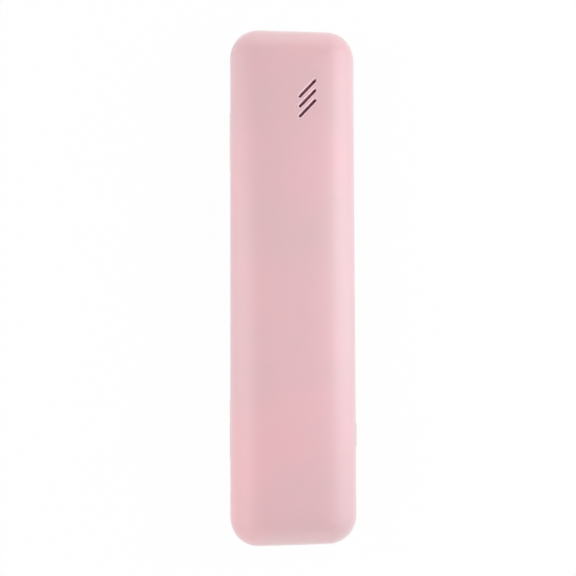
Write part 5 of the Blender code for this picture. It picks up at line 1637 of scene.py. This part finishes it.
@dataclass
class LampAssembly:
    """The lamps under the window, each a ceramic cup with its die and a clear lens."""

    size: float = 0.0035
    height: float = 0.0012
    ease: float = 0.0002
    cup_radius: float = 0.0013
    cup_depth: float = 0.0006
    die_half: float = 0.0006
    die_height: float = 0.0002
    lens_gap: float = 0.00003
    lens_height: float = 0.0002
    facets: int = 28

    def build(self) -> None:
        """Makes the lamps in the places of their solids."""
        nodes = [node for node in nodes_named("uv_led_") if node != "uv_led_board"]
        places = [middle_of(node) for node in nodes]
        for node, place in zip(nodes, places):
            place.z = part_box(node)[0].z
        half = self.size / 2
        cup = boxes("lamp_cup_one", [((-half, -half, 0.0), (half, half, self.height))])
        bm = bmesh.new()
        bm.from_mesh(cup.data)
        bmesh.ops.bevel(bm, geom=bm.edges, offset=self.ease, segments=2, profile=0.5, affect="EDGES")
        bm.to_mesh(cup.data)
        bm.free()
        room = ((0.0, 0.0, self.height), self.cup_radius, 2 * self.cup_depth)
        carve(cup, rods("lamp_cup_room", [room], Axis.Z, self.facets))
        PieceSet("lamp_cups", LAMP_CERAMIC, "lamp_package", nodes=nodes).build(settle(cup), places)
        low = (-self.die_half, -self.die_half, self.height - self.cup_depth)
        high = (self.die_half, self.die_half, low[2] + self.die_height)
        one = boxes("lamp_die_one", [(low, high)])
        PieceSet("lamp_dies", LAMP_DIE, "lamp_package").build(one, places)
        middle = (0.0, 0.0, self.height - self.lens_height / 2)
        lens = (middle, self.cup_radius - self.lens_gap, self.lens_height)
        one = rods("lamp_lens_one", [lens], Axis.Z, self.facets)
        PieceSet("lamp_lenses", LENS, "clear_plastic").build(one, places)


@dataclass
class ChargingPort:
    """The charging port: its drawn shell and tongue, with rows of contacts on the tongue."""

    ease: float = 0.00006
    tongue_half: tuple[float, float] = (0.0034, 0.0004)
    contact_count: int = 12
    contact_pitch: float = 0.0005
    contact_size: Point = (0.00026, 0.0038, 0.00003)
    contact_start: float = 0.0009
    contact_height: float = 0.00035

    def build(self) -> None:
        """Makes the port's shell and its contacts."""
        name = "charging_port_shell"
        shell = EasedPart(("usb_c_port",), PORT_STEEL, "zinc_steel", self.ease, name=name).build()
        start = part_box("usb_c_port")[0].y + self.contact_start
        middle_z = middle_of("usb_c_port").z
        half_x, half_z = self.tongue_half

        def on_tongue(face: bpy.types.MeshPolygon) -> bool:
            """Says whether a face is on the tongue."""
            return abs(face.center.x) < half_x and abs(face.center.z - middle_z) < half_z

        retouch(shell, TONGUE_BLACK, on_tongue)
        wide, deep, thick = self.contact_size
        one = boxes("contact_one", [((-wide / 2, 0.0, 0.0), (wide / 2, deep, thick))])
        first = (1 - self.contact_count) / 2
        columns = [(first + i) * self.contact_pitch for i in range(self.contact_count)]
        rows = (middle_z + self.contact_height, middle_z - self.contact_height - thick)
        places = [(x, start, z) for z in rows for x in columns]
        PieceSet("charging_contacts", GOLD, "zinc_steel").build(one, places)


@dataclass
class BoardParts:
    """The boards' packages and plugs, the chips' tinned leads, the battery cell and the magnets."""

    lead_reach: float = 0.0006
    lead_width: float = 0.00038
    lead_thickness: float = 0.00014
    lead_pitches: dict[str, float] = field(
        default_factory=lambda: {"control_chip": 0.00127, "charger_chip": 0.00127, "hall_sensor": 0.00095}
    )
    parts: tuple[EasedPart, ...] = (
        EasedPart(("control_chip", "charger_chip", "hall_sensor"), CHIP_BLACK, "black_package", 0.00012),
        EasedPart(("tact_switch",), CHIP_BLACK, "black_package", 0.00015),
        EasedPart(("boost_inductor",), FERRITE, "grey_ferrite", 0.0003),
        EasedPart(("charge_led",), PILOT_LAMP, "lamp_package", 0.0002),
        EasedPart(("battery_socket", "led_socket"), IVORY_NYLON, "ivory_nylon", 0.00012),
        EasedPart(("battery_plug", "led_plug"), IVORY_NYLON, "ivory_nylon", 0.00012),
        EasedPart(("battery_cell",), FOIL, "pouch_foil", 0.0011),
        EasedPart(("base_magnet_lower", "base_magnet_upper"), NICKEL, "plated_magnet", 0.00015),
        EasedPart(("lid_magnet_lower", "lid_magnet_upper"), NICKEL, "plated_magnet", 0.00015, Body.LID),
    )

    def build_leads(self, chip: str, pitch: float) -> None:
        """Sets a row of leads under a chip, so that they show along both of its long sides.

        Args:
            chip: The chip's solid.
            pitch: The distance from lead to lead.
        """
        low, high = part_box(chip)
        middle = (low + high) / 2
        reach = (high.y - low.y) / 2 + self.lead_reach
        half = self.lead_width / 2
        one = boxes(f"{chip}_lead_one", [((-half, -reach, 0.0), (half, reach, self.lead_thickness))])
        count = int((high.x - low.x - self.lead_width) / pitch) + 1
        first = middle.x - (count - 1) / 2 * pitch
        board_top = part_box("main_pcb")[1].z
        places = [(first + i * pitch, middle.y, board_top) for i in range(count)]
        PieceSet(f"{chip}_leads", SCREW_STEEL, "zinc_steel").build(one, places)

    def build(self) -> None:
        """Makes the packages, the cell and the magnets, and the chips' leads."""
        for part in self.parts:
            part.build()
        for chip, pitch in self.lead_pitches.items():
            self.build_leads(chip, pitch)


@dataclass
class CarriedNodes:
    """The solids whose own shape is right: each gets just its finish."""

    finishes: dict[str, Finish] = field(
        default_factory=lambda: {
            "main_pcb": GREEN_BOARD,
            "uv_led_board": WHITE_BOARD,
            "charge_light_pipe": LIGHT_PIPE,
            "uv_window": CLEAR,
            "window_seal": SILICONE,
            "switch_stem": IVORY_NYLON,
            "battery_tape": TAPE,
            "battery_wire_red": RED_WIRE,
            "led_wire_red": RED_WIRE,
            "battery_wire_black": BLACK_WIRE,
            "led_wire_black": BLACK_WIRE,
            "hinge_pin_lower": PIN_STEEL,
            "hinge_pin_upper": PIN_STEEL,
        }
    )

    def dress(self) -> None:
        """Gives each of these solids its finish."""
        for name, finish in self.finishes.items():
            NODES[name].data.materials.clear()
            NODES[name].data.materials.append(material_of(finish))
            LOG.info("%s: own solid, %s", name, finish.name)


@dataclass(frozen=True)
class Panel:
    """A soft panel lamp that faces the case's middle line, with its power in watts."""

    name: str
    place: Point
    size: tuple[float, float]
    power: float
    aim_y: float
    tint: Colour
    aim_height: float = 0.02

    def add(self) -> None:
        """Puts the lamp in its place, facing its aim."""
        data = bpy.data.lights.new(self.name, "AREA")
        data.color = self.tint
        data.shape = "RECTANGLE"
        data.size, data.size_y = self.size
        data.energy = self.power
        lamp = bpy.data.objects.new(self.name, data)
        lamp.location = self.place
        lamp.rotation_mode = "QUATERNION"
        way = Vector((0.0, self.aim_y, self.aim_height)) - Vector(self.place)
        lamp.rotation_quaternion = way.to_track_quat("-Z", "Y")
        bpy.context.scene.collection.objects.link(lamp)


WHITE = (1.0, 1.0, 1.0, 1.0)
COOL: Colour = (0.97, 1.01, 1.02)
WARM: Colour = (1.05, 0.985, 0.97)


@dataclass
class Studio:
    """A white sweep, soft lamps and the camera in the photograph's place."""

    yaw_deg: float = 4.371
    pitch_deg: float = -1.965
    roll_deg: float = 0.207
    target: Point = (0.0, 0.0, 0.015)
    distance: float = 0.2597
    focal_pixels: float = 638.2
    frame_pixels: int = 576
    shift_pixels: tuple[float, float] = (4.15, 2.75)
    sensor_width: float = 36.0
    floor_reach: float = 3.0
    floor_gap: float = 0.0004
    floor_white: float = 0.97
    floor_colour: Colour = (0.92, 0.92, 0.92)
    near_clip: float = 0.01
    world_strength: float = 0.15
    panels: tuple[Panel, ...] = (
        Panel("left_panel", (-0.48, 0.0, 0.24), (0.35, 1.2), 1.66, 0.0, (1.015, 0.975, 1.01)),
        Panel("left_foot_panel", (-0.45, -0.3, 0.36), (0.4, 0.5), 0.76, -0.06, (1.1, 0.96, 0.96)),
        Panel("left_head_panel", (-0.52, 0.16, 0.18), (0.3, 0.6), 0.52, 0.05, (1.01, 0.97, 1.03)),
        Panel("right_head_panel", (0.42, 0.22, 0.36), (0.24, 0.6), 1.1, 0.04, COOL),
        Panel("right_foot_panel", (0.42, -0.22, 0.36), (0.24, 0.6), 0.62, -0.04, COOL),
        Panel("right_low_panel", (0.5, 0.0, 0.16), (0.24, 1.2), 1.98, 0.0, (0.915, 1.01, 1.07)),
        Panel("head_panel", (0.0, 0.75, 0.24), (1.2, 0.4), 2.25, 0.05, WARM),
        Panel("foot_panel", (0.0, -0.75, 0.24), (1.2, 0.4), 1.75, -0.05, WARM),
    )

    def add_camera(self) -> None:
        """Puts the camera where the photograph was taken from, almost straight above the lid."""
        turn = (
            Matrix.Rotation(math.radians(self.roll_deg), 4, "Z")
            @ Matrix.Rotation(math.radians(self.pitch_deg), 4, "X")
            @ Matrix.Rotation(math.radians(self.yaw_deg), 4, "Y")
        ).transposed()
        data = bpy.data.cameras.new("camera")
        data.sensor_width = self.sensor_width
        data.lens = self.focal_pixels / self.frame_pixels * self.sensor_width
        data.shift_x, data.shift_y = (-pixels / self.frame_pixels for pixels in self.shift_pixels)
        data.clip_start = self.near_clip
        camera = bpy.data.objects.new("camera", data)
        back = turn @ Vector((0.0, 0.0, 1.0))
        camera.matrix_world = Matrix.Translation(Vector(self.target) + back * self.distance) @ turn
        bpy.context.scene.collection.objects.link(camera)
        bpy.context.scene.camera = camera

    def add_floor(self) -> None:
        """Lays a wide white floor that shows white to the camera and still takes a shadow."""
        bm = bmesh.new()
        bmesh.ops.create_grid(bm, x_segments=1, y_segments=1, size=self.floor_reach)
        floor = new_object("floor", bm)
        floor.location.z = -self.floor_gap
        shade = Shade("white_sweep")
        shade.set(base_color=(*self.floor_colour, 1.0), roughness=0.9, specular_ior_level=0.1)
        share = shade.product(shade.seen_by("Camera", "Glossy", "Transmission"), self.floor_white)
        white = shade.node("ShaderNodeEmission", {"Color": WHITE, "Strength": 1.0})
        feeds = {0: share, 1: shade.surface.outputs[0], 2: white.outputs[0]}
        mixed = shade.node("ShaderNodeMixShader", feeds)
        shade.tree.links.new(mixed.outputs[0], shade.tree.nodes["Material Output"].inputs[0])
        floor.data.materials.append(shade.material)

    def add_world(self) -> None:
        """Surrounds the scene with white, which lights it softly and shows at full white."""
        world = bpy.data.worlds.new("studio")
        bpy.context.scene.world = world
        world.use_nodes = True
        g = Graph(world.node_tree)
        back = world.node_tree.nodes["Background"]
        back.inputs["Color"].default_value = WHITE
        seen = g.seen_by("Camera", "Transmission")
        level = g.math("ADD", self.world_strength, g.product(seen, 1.0 - self.world_strength))
        world.node_tree.links.new(level, back.inputs["Strength"])

    def build(self) -> None:
        """Sets up the camera, the floor and the light."""
        self.add_camera()
        self.add_floor()
        self.add_world()
        for panel in self.panels:
            panel.add()
        bpy.context.scene.view_settings.view_transform = "Standard"


def main() -> None:
    """Builds the case's looks in order."""
    logging.basicConfig(level=logging.INFO, format="%(name)s %(message)s")
    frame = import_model()
    NODES.update(frame["nodes"])
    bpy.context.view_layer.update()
    Studio().build()
    LidAssembly().build()
    BaseAssembly().build()
    Screws().build()
    LampAssembly().build()
    ChargingPort().build()
    BoardParts().build()
    CarriedNodes().dress()


if __name__ == "__main__":
    main()
